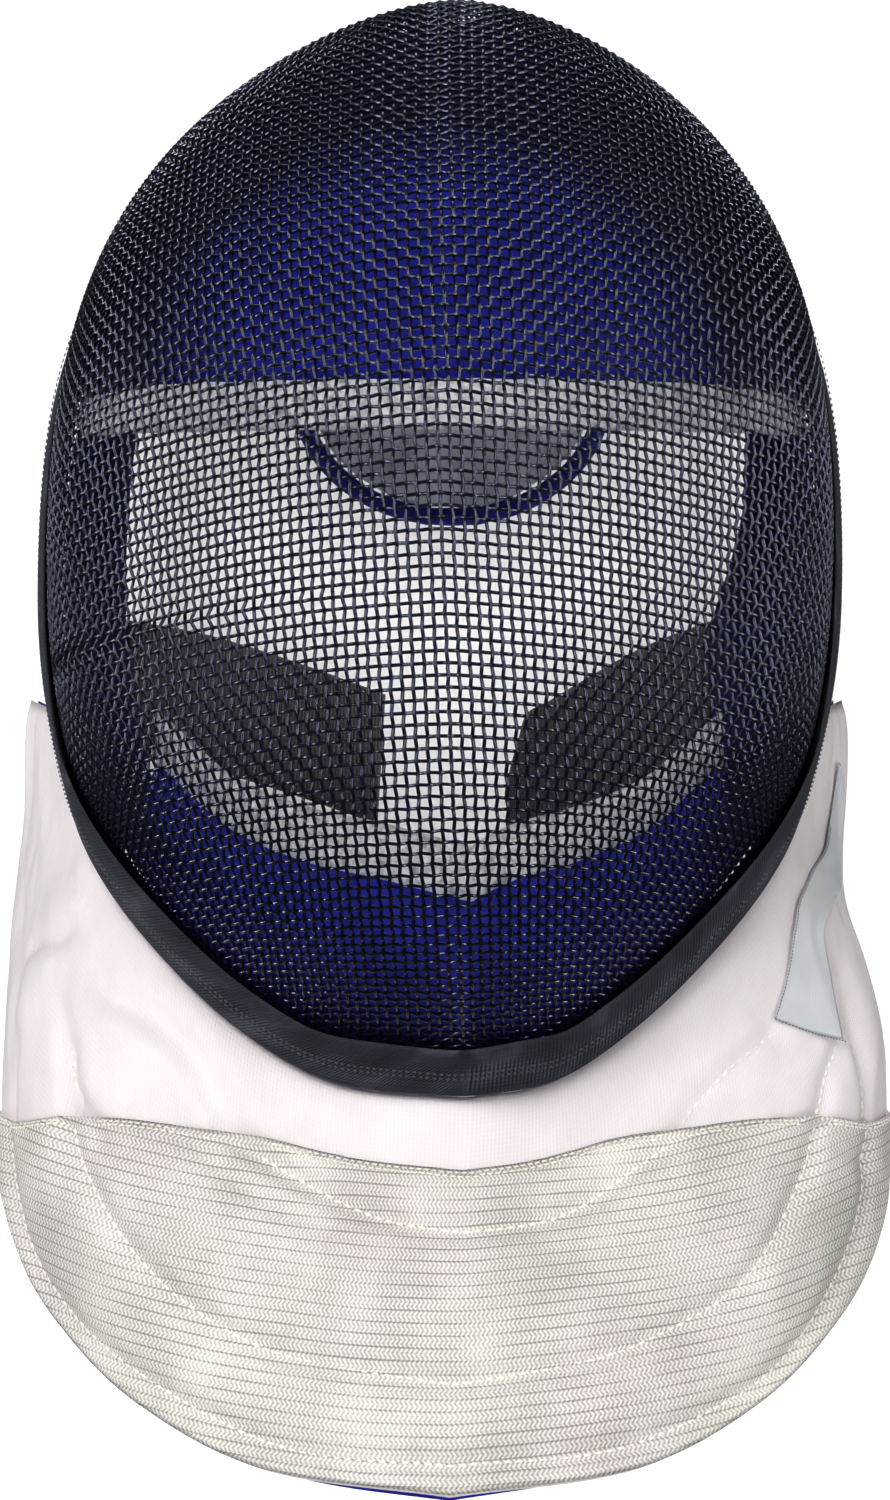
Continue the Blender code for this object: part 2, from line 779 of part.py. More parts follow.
def tongueBinding():
    """Round binding along the free edge of the tongue."""
    grid = tongueGrid()
    outline = [row[0] for row in grid[2:]] + grid[-1][1:-1] + [row[-1] for row in reversed(grid[2:])]
    middle = sum(outline, Vector()) / len(outline)
    route = []
    for index, point in enumerate(outline):
        along = outline[min(index + 1, len(outline) - 1)] - outline[max(index - 1, 0)]
        out = (point - middle) - along.normalized() * (point - middle).dot(along.normalized())
        route.append(point + out.normalized() * (BINDING_DEPTH / 2 + BINDING_GAP))
    curve = bpy.data.curves.new("tongue_binding", "CURVE")
    curve.dimensions = "3D"
    curve.bevel_depth = BINDING_DEPTH / 2
    curve.bevel_resolution = 1
    curve.use_fill_caps = True
    spline = curve.splines.new("POLY")
    points = resample(route, 36)
    spline.points.add(len(points) - 1)
    for spot, point in zip(spline.points, points):
        spot.co = (*point, 1.0)
    curve.materials.append(material("blue_binding", (0.01, 0.012, 0.28), 0.7))
    made = bpy.data.objects.new("tongue_binding", curve)
    parts.objects.link(made)
    return made


def strapGrid(side):
    """Strap from the side lining to its free end inside the back of the mask."""
    rows = STRAPS_RIGHT if side > 0 else STRAPS_LEFT
    root = liningPoint(STRAP_PLACE, side, 1.0)
    root.y += SIDE_PAD / 2 + STRAP_GAP + STRAP_THICKNESS / 2
    grid = []
    for row in range(10):
        strap = lookUp(rows, row / 9)
        middle = root + Vector((
            -side * strap.inward * STRAP_REACH,
            strap.back * STRAP_REACH,
            -strap.drop * STRAP_REACH,
        ))
        line = []
        for column in range(4):
            up = (column / 1.5 - 1) * STRAP_WIDTH / 2
            line.append(middle + Vector((side * up * -0.06, up * strap.twist, up)))
        grid.append(line)
    return grid


def rearStrap(side):
    grid = strapGrid(side)
    if side > 0:
        corner = grid[-1][-1]
        corner += (grid[-2][-1] - corner) * 0.6 - Vector((0.0, 0.0, STRAP_WIDTH * 0.30))
        grid[-1][-2].z -= STRAP_WIDTH * 0.12
    name = "rear_strap_right" if side > 0 else "rear_strap_left"
    return shell(name, grid, STRAP_THICKNESS, material(name + "_webbing", (0.012, 0.012, 0.014), 0.85))


def sideLabel():
    """Blank satin label that hangs over the right side of the bib."""
    grid = []
    for row in range(11):
        spot = lookUp(LABELS, row / 10)
        line = []
        for share in (0.0, 0.5, 1.0):
            across = mix(spot.left_across, spot.right_across, share)
            line.append(bibPoint(across, mix(spot.left_down, spot.right_down, share)))
        grid.append(line)
    grid = shifted(grid, BIB_WALL / 2 + LABEL_GAP + LABEL_THICKNESS / 2)
    return shell("side_label", grid, LABEL_THICKNESS, material("grey_satin", (0.70, 0.74, 0.77), 0.45))


def build():
    global parts, cage
    for old in list(bpy.data.objects):
        bpy.data.objects.remove(old)
    parts = bpy.data.collections.new("fencing_mask")
    bpy.context.scene.collection.children.link(parts)
    cage = cageSurface()
    meshCage()
    edgeTrim(cage)
    bibShell()
    bibLining()
    conductivePanel()
    foreheadPad()
    foreheadBand()
    for side in (-1, 1):
        sideLining(side)
        rearStrap(side)
    chinPad()
    chinBand()
    backTongue()
    tongueBinding()
    sideLabel()


build()
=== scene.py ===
# Fencing mask: the wire cage, its webbing trim, the padded bib and what shows through the mesh.
# Metres, +Z up, front to -Y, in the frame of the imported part.
import math
from collections import namedtuple

import bpy
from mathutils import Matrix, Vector, noise
from mathutils.bvhtree import BVHTree
from mathutils.kdtree import KDTree


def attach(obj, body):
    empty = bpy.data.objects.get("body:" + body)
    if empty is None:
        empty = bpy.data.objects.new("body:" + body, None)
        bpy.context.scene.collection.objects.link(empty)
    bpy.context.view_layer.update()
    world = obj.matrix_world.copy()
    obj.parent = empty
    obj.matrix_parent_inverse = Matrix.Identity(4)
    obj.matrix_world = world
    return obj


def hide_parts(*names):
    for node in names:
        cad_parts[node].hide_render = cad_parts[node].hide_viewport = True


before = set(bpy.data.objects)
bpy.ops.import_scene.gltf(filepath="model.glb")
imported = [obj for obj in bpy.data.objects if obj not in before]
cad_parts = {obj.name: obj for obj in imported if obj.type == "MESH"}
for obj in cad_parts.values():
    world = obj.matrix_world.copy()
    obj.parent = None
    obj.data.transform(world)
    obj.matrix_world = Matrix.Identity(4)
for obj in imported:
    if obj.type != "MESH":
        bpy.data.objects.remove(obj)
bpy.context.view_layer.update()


def table(columns, rows):  # rows of numbers with named columns
    Row = namedtuple("Row", columns)
    return [Row(*row) for row in rows]


# the cage's form, the same numbers as in the part's source
form = {
    "halfWidth": 0.1115, "frontReach": 0.124, "crownRise": 0.1637, "chinDrop": 0.144, "wall": 0.002,
    "rearFlare": 0.065, "rearReach": 0.040, "ridgeSlant": 0.055, "ridgeTurn": 0.016,
    "lean": 0.012, "crownLean": 0.003, "crownPad": 0.010, "padGap": 0.0010,
}

fans = table("angle reach fullness square ridge", (
    (-165, 1.43, 2.2, 0.0, 0.10), (-118, 1.36, 2.1, 0.0, 0.12), (-90, 1.236, 2.0, 0.0, 0.10),
    (-75, 1.121, 2.0, 0.0, 0.10), (-67, 1.087, 2.0, 0.0, 0.11), (-58, 1.065, 2.0, 0.0, 0.14),
    (-45, 1.082, 2.0, 0.0, 0.20), (-37, 1.0885, 2.0, 0.0, 0.23), (-24, 1.0746, 2.0, 0.0, 0.27),
    (-9.6, 1.0223, 2.0, 0.0, 0.28), (5, 0.989, 2.0, 0.1, 0.28), (17, 0.954, 2.0, 0.2, 0.25),
    (31, 0.924, 2.0, 0.3, 0.18), (49, 0.915, 2.0, 0.4, 0.10), (61, 0.9245, 2.0, 0.45, 0.07),
    (77, 0.968, 2.0, 0.5, 0.045), (89, 1.0, 2.0, 0.5, 0.04), (102, 0.998, 2.0, 0.5, 0.04),
    (119, 1.009, 2.0, 0.5, 0.04), (133, 1.067, 2.05, 0.45, 0.05), (156, 1.20, 2.1, 0.3, 0.08),
    (195, 1.43, 2.2, 0.0, 0.10),
))

edges = table("place forward up", (
    (0.0, 0.447, -0.985), (0.06, 0.350, -0.960), (0.11, 0.300, -0.868), (0.18, 0.235, -0.746),
    (0.24, 0.150, -0.644), (0.30, 0.045, -0.540), (0.355, -0.080, -0.440), (0.400, -0.190, -0.345),
    (0.435, -0.268, -0.262), (0.470, -0.305, -0.165), (0.53, -0.305, 0.0), (0.62, -0.310, 0.244),
    (0.72, -0.363, 0.489), (0.84, -0.427, 0.733), (1.0, -0.484, 0.8858),
))

crosses = table("place keel edge", (
    (0.0, 0.012, 0.055), (0.06, 0.045, 0.105), (0.16, 0.125, 0.175), (0.26, 0.210, 0.275),
    (0.34, 0.275, 0.345), (0.42, 0.330, 0.405), (0.50, 0.385, 0.462), (0.62, 0.500, 0.550),
    (0.75, 0.660, 0.645), (0.88, 0.830, 0.755), (1.0, 1.0, 0.855),
))

fanCentre = Vector((0.0, 0.003, -(form["crownRise"] - form["wall"] / 2 - form["padGap"] - form["crownPad"])))
nose = Vector((0.0, fanCentre.y - form["frontReach"], fanCentre.z))


def lookUp(rows, place):  # a table read at a place, with a smooth curve through its rows
    last = len(rows) - 1
    index = 0
    while index < last - 1 and place > rows[index + 1][0]:
        index += 1
    before, start = rows[max(index - 1, 0)], rows[index]
    end, after = rows[index + 1], rows[min(index + 2, last)]
    span = end[0] - start[0]
    t = min(max((place - start[0]) / span, 0.0), 1.0)
    values = [place]
    for column in range(1, len(start)):
        slopeIn = (end[column] - before[column]) / (end[0] - before[0]) * span
        slopeOut = (after[column] - start[column]) / (after[0] - start[0]) * span
        rise = end[column] - start[column]
        value = start[column] + slopeIn * t + (3 * rise - 2 * slopeIn - slopeOut) * t ** 2
        values.append(value + (slopeIn + slopeOut - 2 * rise) * t ** 3)
    return type(start)(*values)


def mix(first, second, share):
    return first + (second - first) * share


def sideShares(y, z):  # a point of the side view as shares of the reach, rise and drop
    up = z - fanCentre.z
    return (fanCentre.y - y) / form["frontReach"], up / (form["crownRise"] if up > 0 else form["chinDrop"])


def sidePoint(forward, up):
    return (fanCentre.y - forward * form["frontReach"],
            fanCentre.z + up * (form["crownRise"] if up > 0 else form["chinDrop"]))


def angleOf(forward, up):
    return math.degrees(math.atan2(up, forward))


def fanAt(angle):
    return lookUp(fans, angle if angle > -165 else angle + 360)


def halfWidth(y, z, inset=0.0):  # half width of the cage, or of a cage smaller by an inset
    forward, up = sideShares(y, z)
    fan = fanAt(angleOf(forward, up))
    reach = fan.reach - inset / form["frontReach"]
    wanted = math.hypot(forward, up)
    low, high = 0.0, 1.0
    for step in range(26):
        across = (low + high) / 2
        fullness = fan.fullness + fan.square * across ** 2
        if (1 - across ** fullness) ** (1 / fullness) * (reach - fan.ridge * fan.reach * across) > wanted:
            low = across
        else:
            high = across
    behind = max(y - fanCentre.y, 0.0) / form["rearReach"]
    return low, low * (form["halfWidth"] - inset) * (1 + form["rearFlare"] * behind ** 2)


def drift(z):  # sideways shift of the slanted ridge
    return max(form["ridgeTurn"] + fanCentre.z - z, 0.0) * form["ridgeSlant"]


def lean(z):
    up = (z - fanCentre.z) / form["crownRise"]
    return (z - fanCentre.z) * form["lean"] + form["crownLean"] * max(up, 0.0) ** 4


def cagePoint(y, z, side, inset=0.0):
    across, width = halfWidth(y, z, inset)
    return Vector((lean(z) + drift(z) * (1 - across) ** 4 + side * width, y, z))


def fanPoint(angle, across, side):  # the cage by angle and share across, also past its edge
    fan = fanAt(angle)
    fullness = fan.fullness + fan.square * across ** 2
    reach = max(1 - across ** fullness, 0.0) ** (1 / fullness) * fan.reach * (1 - fan.ridge * across)
    turn = math.radians(angle)
    y, z = sidePoint(reach * math.cos(turn), reach * math.sin(turn))
    behind = max(y - fanCentre.y, 0.0) / form["rearReach"]
    width = across * form["halfWidth"] * (1 + form["rearFlare"] * behind ** 2)
    return Vector((lean(z) + drift(z) * (1 - across) ** 4 + side * width, y, z))


def resample(points, count):  # equal steps along a line of points
    lengths = [0.0]
    for first, second in zip(points, points[1:]):
        lengths.append(lengths[-1] + (second - first).length)
    result = []
    index = 0
    for step in range(count + 1):
        target = lengths[-1] * step / count
        while index < len(points) - 2 and lengths[index + 1] < target:
            index += 1
        share = (target - lengths[index]) / max(lengths[index + 1] - lengths[index], 1e-9)
        result.append(points[index].lerp(points[index + 1], share))
    return result


def lineLength(points):
    return sum((second - first).length for first, second in zip(points, points[1:]))


def keelLine(count):  # the ridge in side view, chin to rear of crown
    firstAngle, lastAngle = (angleOf(end.forward, end.up) for end in (edges[0], edges[-1]))
    points = []
    for step in range(241):
        angle = mix(firstAngle, lastAngle, step / 240)
        turn = math.radians(angle)
        reach = fanAt(angle).reach
        y, z = sidePoint(reach * math.cos(turn), reach * math.sin(turn))
        points.append(Vector((0.0, y, z)))
    return resample(points, count)


keel = keelLine(400)


def keelAt(place):
    spot = min(max(place, 0.0), 1.0) * (len(keel) - 1)
    index = min(int(spot), len(keel) - 2)
    return keel[index].lerp(keel[index + 1], spot - index)


def edgeAt(place, side):  # the cage's edge between chin and crown
    edge = lookUp(edges, place)
    if place in (0.0, 1.0):
        share = fanAt(angleOf(edge.forward, edge.up)).reach / math.hypot(edge.forward, edge.up)
        y, z = sidePoint(edge.forward * share, edge.up * share)
        return Vector((lean(z) + drift(z), y, z))
    y, z = sidePoint(edge.forward, edge.up)
    return cagePoint(y, z, side)


def crossLine(place, side, count):  # one cross section of the cage, ridge to edge
    cross = lookUp(crosses, place)
    start, end = keelAt(cross.keel), edgeAt(cross.edge, side)
    points = [Vector((lean(start.z) + drift(start.z), start.y, start.z))]
    for step in range(1, 41):
        share = (step / 40) ** 2
        points.append(cagePoint(mix(start.y, end.y, share), mix(start.z, end.z, share), side))
    return resample(points, count)


def cageSurface():  # both halves of the cage for nearest-point questions, a little past the edge
    points, faces = [], []
    for side in (-1, 1):
        first = len(points)
        for row in range(121):
            for column in range(45):
                points.append(fanPoint(-165 + 3 * row, math.sin(column / 44 * math.pi / 2), side))
        for row in range(120):
            for column in range(44):
                corner = first + row * 45 + column
                faces.append((corner, corner + 1, corner + 46, corner + 45))
    return BVHTree.FromPolygons(points, faces)


cage = cageSurface()


def outward(point):  # nearest point of the cage and its normal, away from the middle
    found, normal, index, distance = cage.find_nearest(point)
    if normal.dot(found - fanCentre) < 0:
        normal = -normal
    return found, normal


sideOutline = [tuple((point.yz - fanCentre.yz) * 1.03 + fanCentre.yz) for point in keel[::4]]
for step in range(101):
    row = lookUp(edges, 1 - step / 100)
    sideOutline.append(sidePoint(row.forward, row.up))


def insideCage(point):  # whether a point of the surface is on the cage, seen from the side
    inside = False
    y0, z0 = sideOutline[-1]
    for y1, z1 in sideOutline:
        if (z0 > point.z) != (z1 > point.z) and point.y < (y1 - y0) * (point.z - z0) / (z1 - z0) + y0:
            inside = not inside
        y0, z0 = y1, z1
    return inside


def shade(name, colour, roughness, **more):  # a new material and its shader, colour in sRGB hex
    made = bpy.data.materials.new(name)
    made.use_nodes = True
    shader = made.node_tree.nodes["Principled BSDF"]
    shader.inputs["Base Color"].default_value = linear(colour)
    shader.inputs["Roughness"].default_value = roughness
    for key, value in more.items():
        shader.inputs[key.replace("_", " ")].default_value = value
    return made, made.node_tree, shader


def linear(colour):
    channels = [int(colour[i:i + 2], 16) / 255 for i in (1, 3, 5)]
    return (*[c / 12.92 if c <= 0.04045 else ((c + 0.055) / 1.055) ** 2.4 for c in channels], 1.0)


def add(tree, kind, settings=None, **links):  # one node, its settings and what feeds its sockets
    node = tree.nodes.new(kind)
    for key, value in (settings or {}).items():
        setattr(node, key, value)
    for key, value in links.items():
        name = key.replace("_", " ")
        socket = node.inputs[int(key[1:])] if key[0] == "i" and key[1:].isdigit() else node.inputs[name]
        if isinstance(value, bpy.types.NodeSocket):
            tree.links.new(value, socket)
        else:
            socket.default_value = value
    return node


def ramp(tree, fac, *stops):  # a colour ramp from (place, hex) stops
    node = add(tree, "ShaderNodeValToRGB", Fac=fac)
    elements = node.color_ramp.elements
    while len(elements) < len(stops):
        elements.new(0.5)
    for element, (place, colour) in zip(elements, stops):
        element.position = place
        element.color = linear(colour)
    return node.outputs["Color"]


def calc(tree, operation, *values):  # one step of arithmetic on sockets and numbers
    links = {"i" + str(index): value for index, value in enumerate(values)}
    return add(tree, "ShaderNodeMath", {"operation": operation}, **links).outputs[0]


def clouds(tree, place, scale, detail, **more):  # soft noise
    return add(tree, "ShaderNodeTexNoise", Vector=place, Scale=scale, Detail=detail, **more).outputs[0]


def spread(tree, value, low, high, first=0.0, last=1.0):  # one range of values laid over another
    return add(tree, "ShaderNodeMapRange", Value=value, From_Min=low, From_Max=high, To_Min=first,
               To_Max=last).outputs[0]


def clothNodes(tree, acrossPitch, alongPitch):  # threads both ways from the piece's own map, in metres
    place = add(tree, "ShaderNodeUVMap").outputs[0]
    parts = add(tree, "ShaderNodeSeparateXYZ", Vector=place)
    waves = [calc(tree, "SINE", calc(tree, "MULTIPLY", parts.outputs[axis], 2 * math.pi / pitch))
             for axis, pitch in (("X", acrossPitch), ("Y", alongPitch))]
    return place, *waves


def rough(tree, shader, height, strength, distance):  # the relief that ends most finishes
    bump = add(tree, "ShaderNodeBump", Height=height, Strength=strength, Distance=distance)
    tree.links.new(bump.outputs[0], shader.inputs["Normal"])


def dye(tree, shader, tone, *stops):  # the colour of a finish, from a ramp
    tree.links.new(ramp(tree, tone, *stops), shader.inputs["Base Color"])


def placed(name, data):  # a new object in the scene
    made = bpy.data.objects.new(name, data)
    bpy.context.scene.collection.objects.link(made)
    return made


def meshPiece(name, points, faces, places, finish):  # a smooth piece with its map, in metres along the cloth
    mesh = bpy.data.meshes.new(name)
    mesh.from_pydata(points, [], faces)
    layer = mesh.uv_layers.new(name="UVMap")
    for loop in mesh.loops:
        layer.data[loop.index].uv = places[loop.vertex_index]
    mesh.materials.append(finish)
    mesh.shade_smooth()
    return placed(name, mesh)


def normalsOf(grid, closed=False):
    count = len(grid)
    result = []
    for r, row in enumerate(grid):
        above = grid[r - 1] if closed or r > 0 else row
        below = grid[(r + 1) % count] if closed or r < count - 1 else row
        line = []
        for c in range(len(row)):
            right = row[min(c + 1, len(row) - 1)] - row[max(c - 1, 0)]
            line.append((below[c] - above[c]).cross(right).normalized())
        result.append(line)
    return result


def shifted(grid, distance):
    return [[point + normal * distance for point, normal in zip(row, line)]
            for row, line in zip(grid, normalsOf(grid))]


# how full the wall is at its border and at the next rings, so that its rim is round
rim = (0.0, 0.55, 0.82, 0.95)


def sheetMesh(name, grid, thickness, finish, relief=None, back=None, closed=False, uv=None):
    # a closed wall of the grid's form; relief and back raise its two faces, closed joins last row to first
    rows, columns = len(grid), len(grid[0])
    normals = normalsOf(grid, closed)
    points, places = [], []
    outer, inner = {}, {}
    across = [[0.0] * columns for row in grid]
    along = [[0.0] * columns for row in grid]
    for r in range(rows):
        for c in range(columns):
            if c:
                across[r][c] = across[r][c - 1] + (grid[r][c] - grid[r][c - 1]).length
            if r:
                along[r][c] = along[r - 1][c] + (grid[r][c] - grid[r - 1][c]).length
    for r in range(rows):
        middle = across[r][columns // 2]
        for c in range(columns):
            ring = min(c, columns - 1 - c) if closed else min(c, columns - 1 - c, r, rows - 1 - r)
            full = rim[ring] if ring < len(rim) else 1.0
            lift = relief(r, c) if relief else 0.0
            place = uv(r, c, grid[r][c]) if uv else (across[r][c] - middle, along[r][c])
            outer[r, c] = len(points)
            points.append(grid[r][c] + normals[r][c] * (thickness / 2 + lift) * full)
            places.append(place)
            if ring == 0:
                inner[r, c] = outer[r, c]
                continue
            inner[r, c] = len(points)
            points.append(grid[r][c] - normals[r][c] * (thickness / 2 + (back(r, c) if back else 0.0)) * full)
            places.append(place)
    faces = []
    for r in range(rows if closed else rows - 1):
        for c in range(columns - 1):
            corners = ((r, c), ((r + 1) % rows, c), ((r + 1) % rows, c + 1), (r, c + 1))
            faces.append([outer[corner] for corner in corners])
            faces.append([inner[corner] for corner in reversed(corners)])
    made = meshPiece(name, points, faces, places, finish)
    if closed:  # the last row's faces would run back through the whole map
        layer = made.data.uv_layers["UVMap"]
        last = max(along[-1]) + max(along[-1]) / (rows - 1)
        for face in made.data.polygons:
            marks = [layer.data[i].uv.y for i in face.loop_indices]
            if max(marks) - min(marks) > last / 2:
                for i in face.loop_indices:
                    if layer.data[i].uv.y < last / 2:
                        layer.data[i].uv.y += last
    return made


def growTree(name, **inputs):  # a Geometry Nodes tree, its input node and the identifiers of its inputs
    tree = bpy.data.node_groups.new(name, "GeometryNodeTree")
    for way in ("INPUT", "OUTPUT"):
        tree.interface.new_socket(name="Geometry", in_out=way, socket_type="NodeSocketGeometry")
    names = [tree.interface.new_socket(name=label, in_out="INPUT", socket_type="NodeSocket" + kind).identifier
             for label, kind in inputs.items()]
    return tree, tree.nodes.new("NodeGroupInput"), *names


def coated(tree, geometry, finish):  # the end of such a tree: real, smooth and in its material
    real = add(tree, "GeometryNodeRealizeInstances", Geometry=geometry)
    smooth = add(tree, "GeometryNodeSetShadeSmooth", Geometry=real.outputs[0])
    coat = add(tree, "GeometryNodeSetMaterial", Geometry=smooth.outputs[0], Material=finish)
    tree.links.new(coat.outputs[0], tree.nodes.new("NodeGroupOutput").inputs[0])


def settle(piece, slot, *nodes):  # a finished piece rides on the mask and stands for its CAD nodes
    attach(piece, "root")
    if nodes:
        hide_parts(*nodes)
    return piece


def settlePadded(piece, slot, node):
    settle(piece, slot, node)


def grow(source, tree, settings, name, slot, *nodes):  # runs a tree on an object and keeps the result as a mesh
    modifier = source.modifiers.new("grow", "NODES")
    modifier.node_group = tree
    for identifier, value in settings.items():
        modifier[identifier] = value
    evaluated = source.evaluated_get(bpy.context.evaluated_depsgraph_get())
    mesh = bpy.data.meshes.new_from_object(evaluated)
    made = placed(name, mesh)
    bpy.data.objects.remove(source)
    print(name, len(mesh.polygons), "faces")
    return settle(made, slot, *nodes)


def plainLines(name, lines, lifts=None):  # chains of edges, with the weave's lift as an attribute
    mesh = bpy.data.meshes.new(name)
    points = [point for line in lines for point in line]
    links, first = [], 0
    for line in lines:
        links += [(first + i, first + i + 1) for i in range(len(line) - 1)]
        first += len(line)
    mesh.from_pydata(points, links, [])
    if lifts:
        attribute = mesh.attributes.new("lift", "FLOAT_VECTOR", "POINT")
        attribute.data.foreach_set("vector", [value for lift in lifts for value in lift])
    return placed(name, mesh)


wires = {
    "pitch": 0.00312,  # from wire to wire, both ways
    "thickness": 0.0010,
    "sides": 6,
    "keelOffset": 0.055,  # how far the middle wire leaves the middle above the brow
    "keelTurn": 0.016,
    "generator": 0.46,  # the cross section that the net starts from
    "outside": 6,  # wires that the net runs on past the edge while it is made
    "leastShear": 1.02,  # the diagonal of a cell never gets shorter, in pitches
    "most": 80,  # more wires than either side can hold
    "settling": 12,  # wires over which the first row bends to meet the middle wire
    "rounds": 9,  # corrections that place a crossing
    "split": 0.52,  # share of the rows in the lower family
}


def wireNet():  # woven mesh on a curved form: each crossing is one pitch from its two neighbours
    pitch = wires["pitch"]
    length = lineLength(keel)
    count = int(length / pitch)
    spine = []
    for point in resample(keel, count):
        above = max(point.z - fanCentre.z - wires["keelTurn"], 0.0)
        x = lean(point.z) + drift(point.z) - above * wires["keelOffset"]
        spine.append(cage.find_nearest(Vector((x, point.y, point.z)))[0])
    starts = {}
    for side in (-1, 1):
        line = crossLine(wires["generator"], side, 200)
        starts[side] = resample(line, int(lineLength(line) / pitch))
    height = starts[1][0]
    middle = min(range(len(spine)), key=lambda i: (spine[i] - height).length)
    net = {}
    for index, point in enumerate(spine):
        net[index, 0] = point
    for side in (-1, 1):
        shift = spine[middle] - starts[side][0]
        for column, point in enumerate(starts[side][1:], 1):
            fade = max(1 - column / wires["settling"], 0.0)
            net[middle, side * column] = cage.find_nearest(point + shift * fade)[0]
        last = len(starts[side]) - 1
        for column in range(last + 1, last + 9):
            before, point = net[middle, side * (column - 2)], net[middle, side * (column - 1)]
            net[middle, side * column] = cage.find_nearest(point * 2 - before)[0]
        for step in (-1, 1):
            row = middle + step
            while 0 <= row <= count:
                past = 0
                for column in range(1, wires["most"]):
                    first = net.get((row, side * (column - 1)))
                    second = net.get((row - step, side * column))
                    corner = net.get((row - step, side * (column - 1)))
                    if first is None or corner is None or past > wires["outside"]:
                        break
                    if second is None:
                        further = net.get((row - step, side * (column - 2)))
                        if further is None:
                            break
                        second = cage.find_nearest(corner * 2 - further)[0]
                    point = netPoint(first, second, corner, pitch)
                    net[row, side * column] = point
                    past = 0 if insideCage(point) else past + 1
                row += step
    return net, count, middle


def netPoint(first, second, corner, pitch):
    point = first + second - corner
    for step in range(wires["rounds"]):
        point = cage.find_nearest(point)[0]
        for anchor in (first, second):
            point = anchor + (point - anchor).normalized() * pitch
        away = point - corner
        if away.length < pitch * wires["leastShear"]:
            point = corner + away.normalized() * pitch * wires["leastShear"]
    return cage.find_nearest(point)[0]


def wireLines():  # cross wires and uprights as chains, with their in and out over each other
    net, count, middle = wireNet()
    kept = {key for key, point in net.items() if insideCage(point)}
    families = {"upper_cross_wires": [], "lower_cross_wires": [], "left_uprights": [], "right_uprights": []}
    columns = range(1 - wires["most"], wires["most"])
    for row in range(count + 1):
        for chain in runs([(row, column) for column in columns], kept):
            upper = row > wires["split"] * count
            families["upper_cross_wires" if upper else "lower_cross_wires"].append((chain, -1))
    for column in columns:
        for chain in runs([(row, column) for row in range(count + 1)], kept):
            families["left_uprights" if column < 0 else "right_uprights"].append((chain, 1))
    made = {}
    for name, chains in families.items():
        lines, lifts = [], []
        for chain, sign in chains:
            line, lift = [], []
            for index, key in enumerate(chain):
                normal = outward(net[key])[1]
                over = sign if (key[0] + key[1]) % 2 == 0 else -sign
                if index:
                    line.append((line[-1] + net[key]) / 2)
                    lift.append(Vector((0.0, 0.0, 0.0)))
                line.append(net[key])
                lift.append(normal * over)
            lines.append(line)
            lifts.append(lift)
        made[name] = (lines, [value for lift in lifts for value in lift])
    return made


def runs(keys, kept):  # unbroken stretches of a wire on the cage
    found, chain = [], []
    for key in keys:
        if key in kept:
            chain.append(key)
        else:
            if len(chain) > 2:
                found.append(chain)
            chain = []
    if len(chain) > 2:
        found.append(chain)
    return found


def wireTree(finish):  # each chain becomes a round wire, lifted over or under at each crossing
    tree, source, thick, sides = growTree("woven_wire", Thickness="Float", Sides="Int")
    half = calc(tree, "MULTIPLY", source.outputs["Thickness"], 0.5)
    lift = add(tree, "GeometryNodeInputNamedAttribute", {"data_type": "FLOAT_VECTOR"}, Name="lift")
    move = add(tree, "ShaderNodeVectorMath", {"operation": "SCALE"}, i0=lift.outputs["Attribute"], Scale=half)
    woven = add(tree, "GeometryNodeSetPosition", Geometry=source.outputs["Geometry"], Offset=move.outputs[0])
    curve = add(tree, "GeometryNodeMeshToCurve", Mesh=woven.outputs[0])
    ring = add(tree, "GeometryNodeCurvePrimitiveCircle", {"mode": "RADIUS"}, Resolution=source.outputs["Sides"],
               Radius=half)
    tube = add(tree, "GeometryNodeCurveToMesh", Curve=curve.outputs[0], Profile_Curve=ring.outputs[0],
               Fill_Caps=True)
    coated(tree, tube.outputs[0], finish)
    return tree, thick, sides


def wireCage():
    finish = wireEnamel()
    tree, thick, sides = wireTree(finish)
    for name, (lines, lifts) in wireLines().items():
        source = plainLines(name + "_lines", lines, lifts)
        grow(source, tree, {thick: wires["thickness"], sides: wires["sides"]}, name, "black_mesh", "mesh_cage")


def wireEnamel():  # steel wire dipped in black enamel: deep black with small sharp lights on each knuckle
    made, tree, shader = shade("black_wire_enamel", "#03050c", 0.2, IOR=1.45, Specular_Tint=linear("#cdd6ff"))
    grain = clouds(tree, add(tree, "ShaderNodeTexCoord").outputs["Object"], 900.0, 2.0)
    tree.links.new(spread(tree, grain, 0.0, 1.0, 0.13, 0.25), shader.inputs["Roughness"])
    dye(tree, shader, grain, (0.35, "#03040a"), (0.7, "#060a16"))
    return made


print("making the woven wires")
wireCage()

trim = {
    "width": 0.0198, "innerWidth": 0.0125, "thickness": 0.0016, "gap": 0.0010,
    "steps": 420,
    "rib": 0.0012,  # ribs of the webbing, drawn wider than they are so that they show
    "roll": 0.0005,  # how far the tape swells between its edges
    "stitched": (5, 6),  # columns of the tape that carry a row of stitches
}


def towardsNose(point, normal, along):  # direction across an edge, to the middle of the face
    inward = normal.cross(along).normalized()
    return -inward if inward.dot(nose - point) < 0 else inward


def edgeLoop(count):
    right = [edgeAt(step / 160, 1) for step in range(161)]
    left = [edgeAt(step / 160, -1) for step in range(161)]
    return resample(right + left[-2::-1], count)[:-1]


def edgeFrames(count):  # points round the edge, with the way out and the way in
    loop = edgeLoop(count)
    frames = []
    for index, point in enumerate(loop):
        ahead, behind = loop[(index + 4) % count], loop[index - 4]
        along = (ahead - behind).normalized()
        normal = Vector((0.0, 0.0, 0.0))
        for step in (-0.006, 0.0, 0.006):
            normal += outward(point + along * step)[1]
        normal.normalize()
        frames.append((point, normal, towardsNose(point, normal, along)))
    return frames


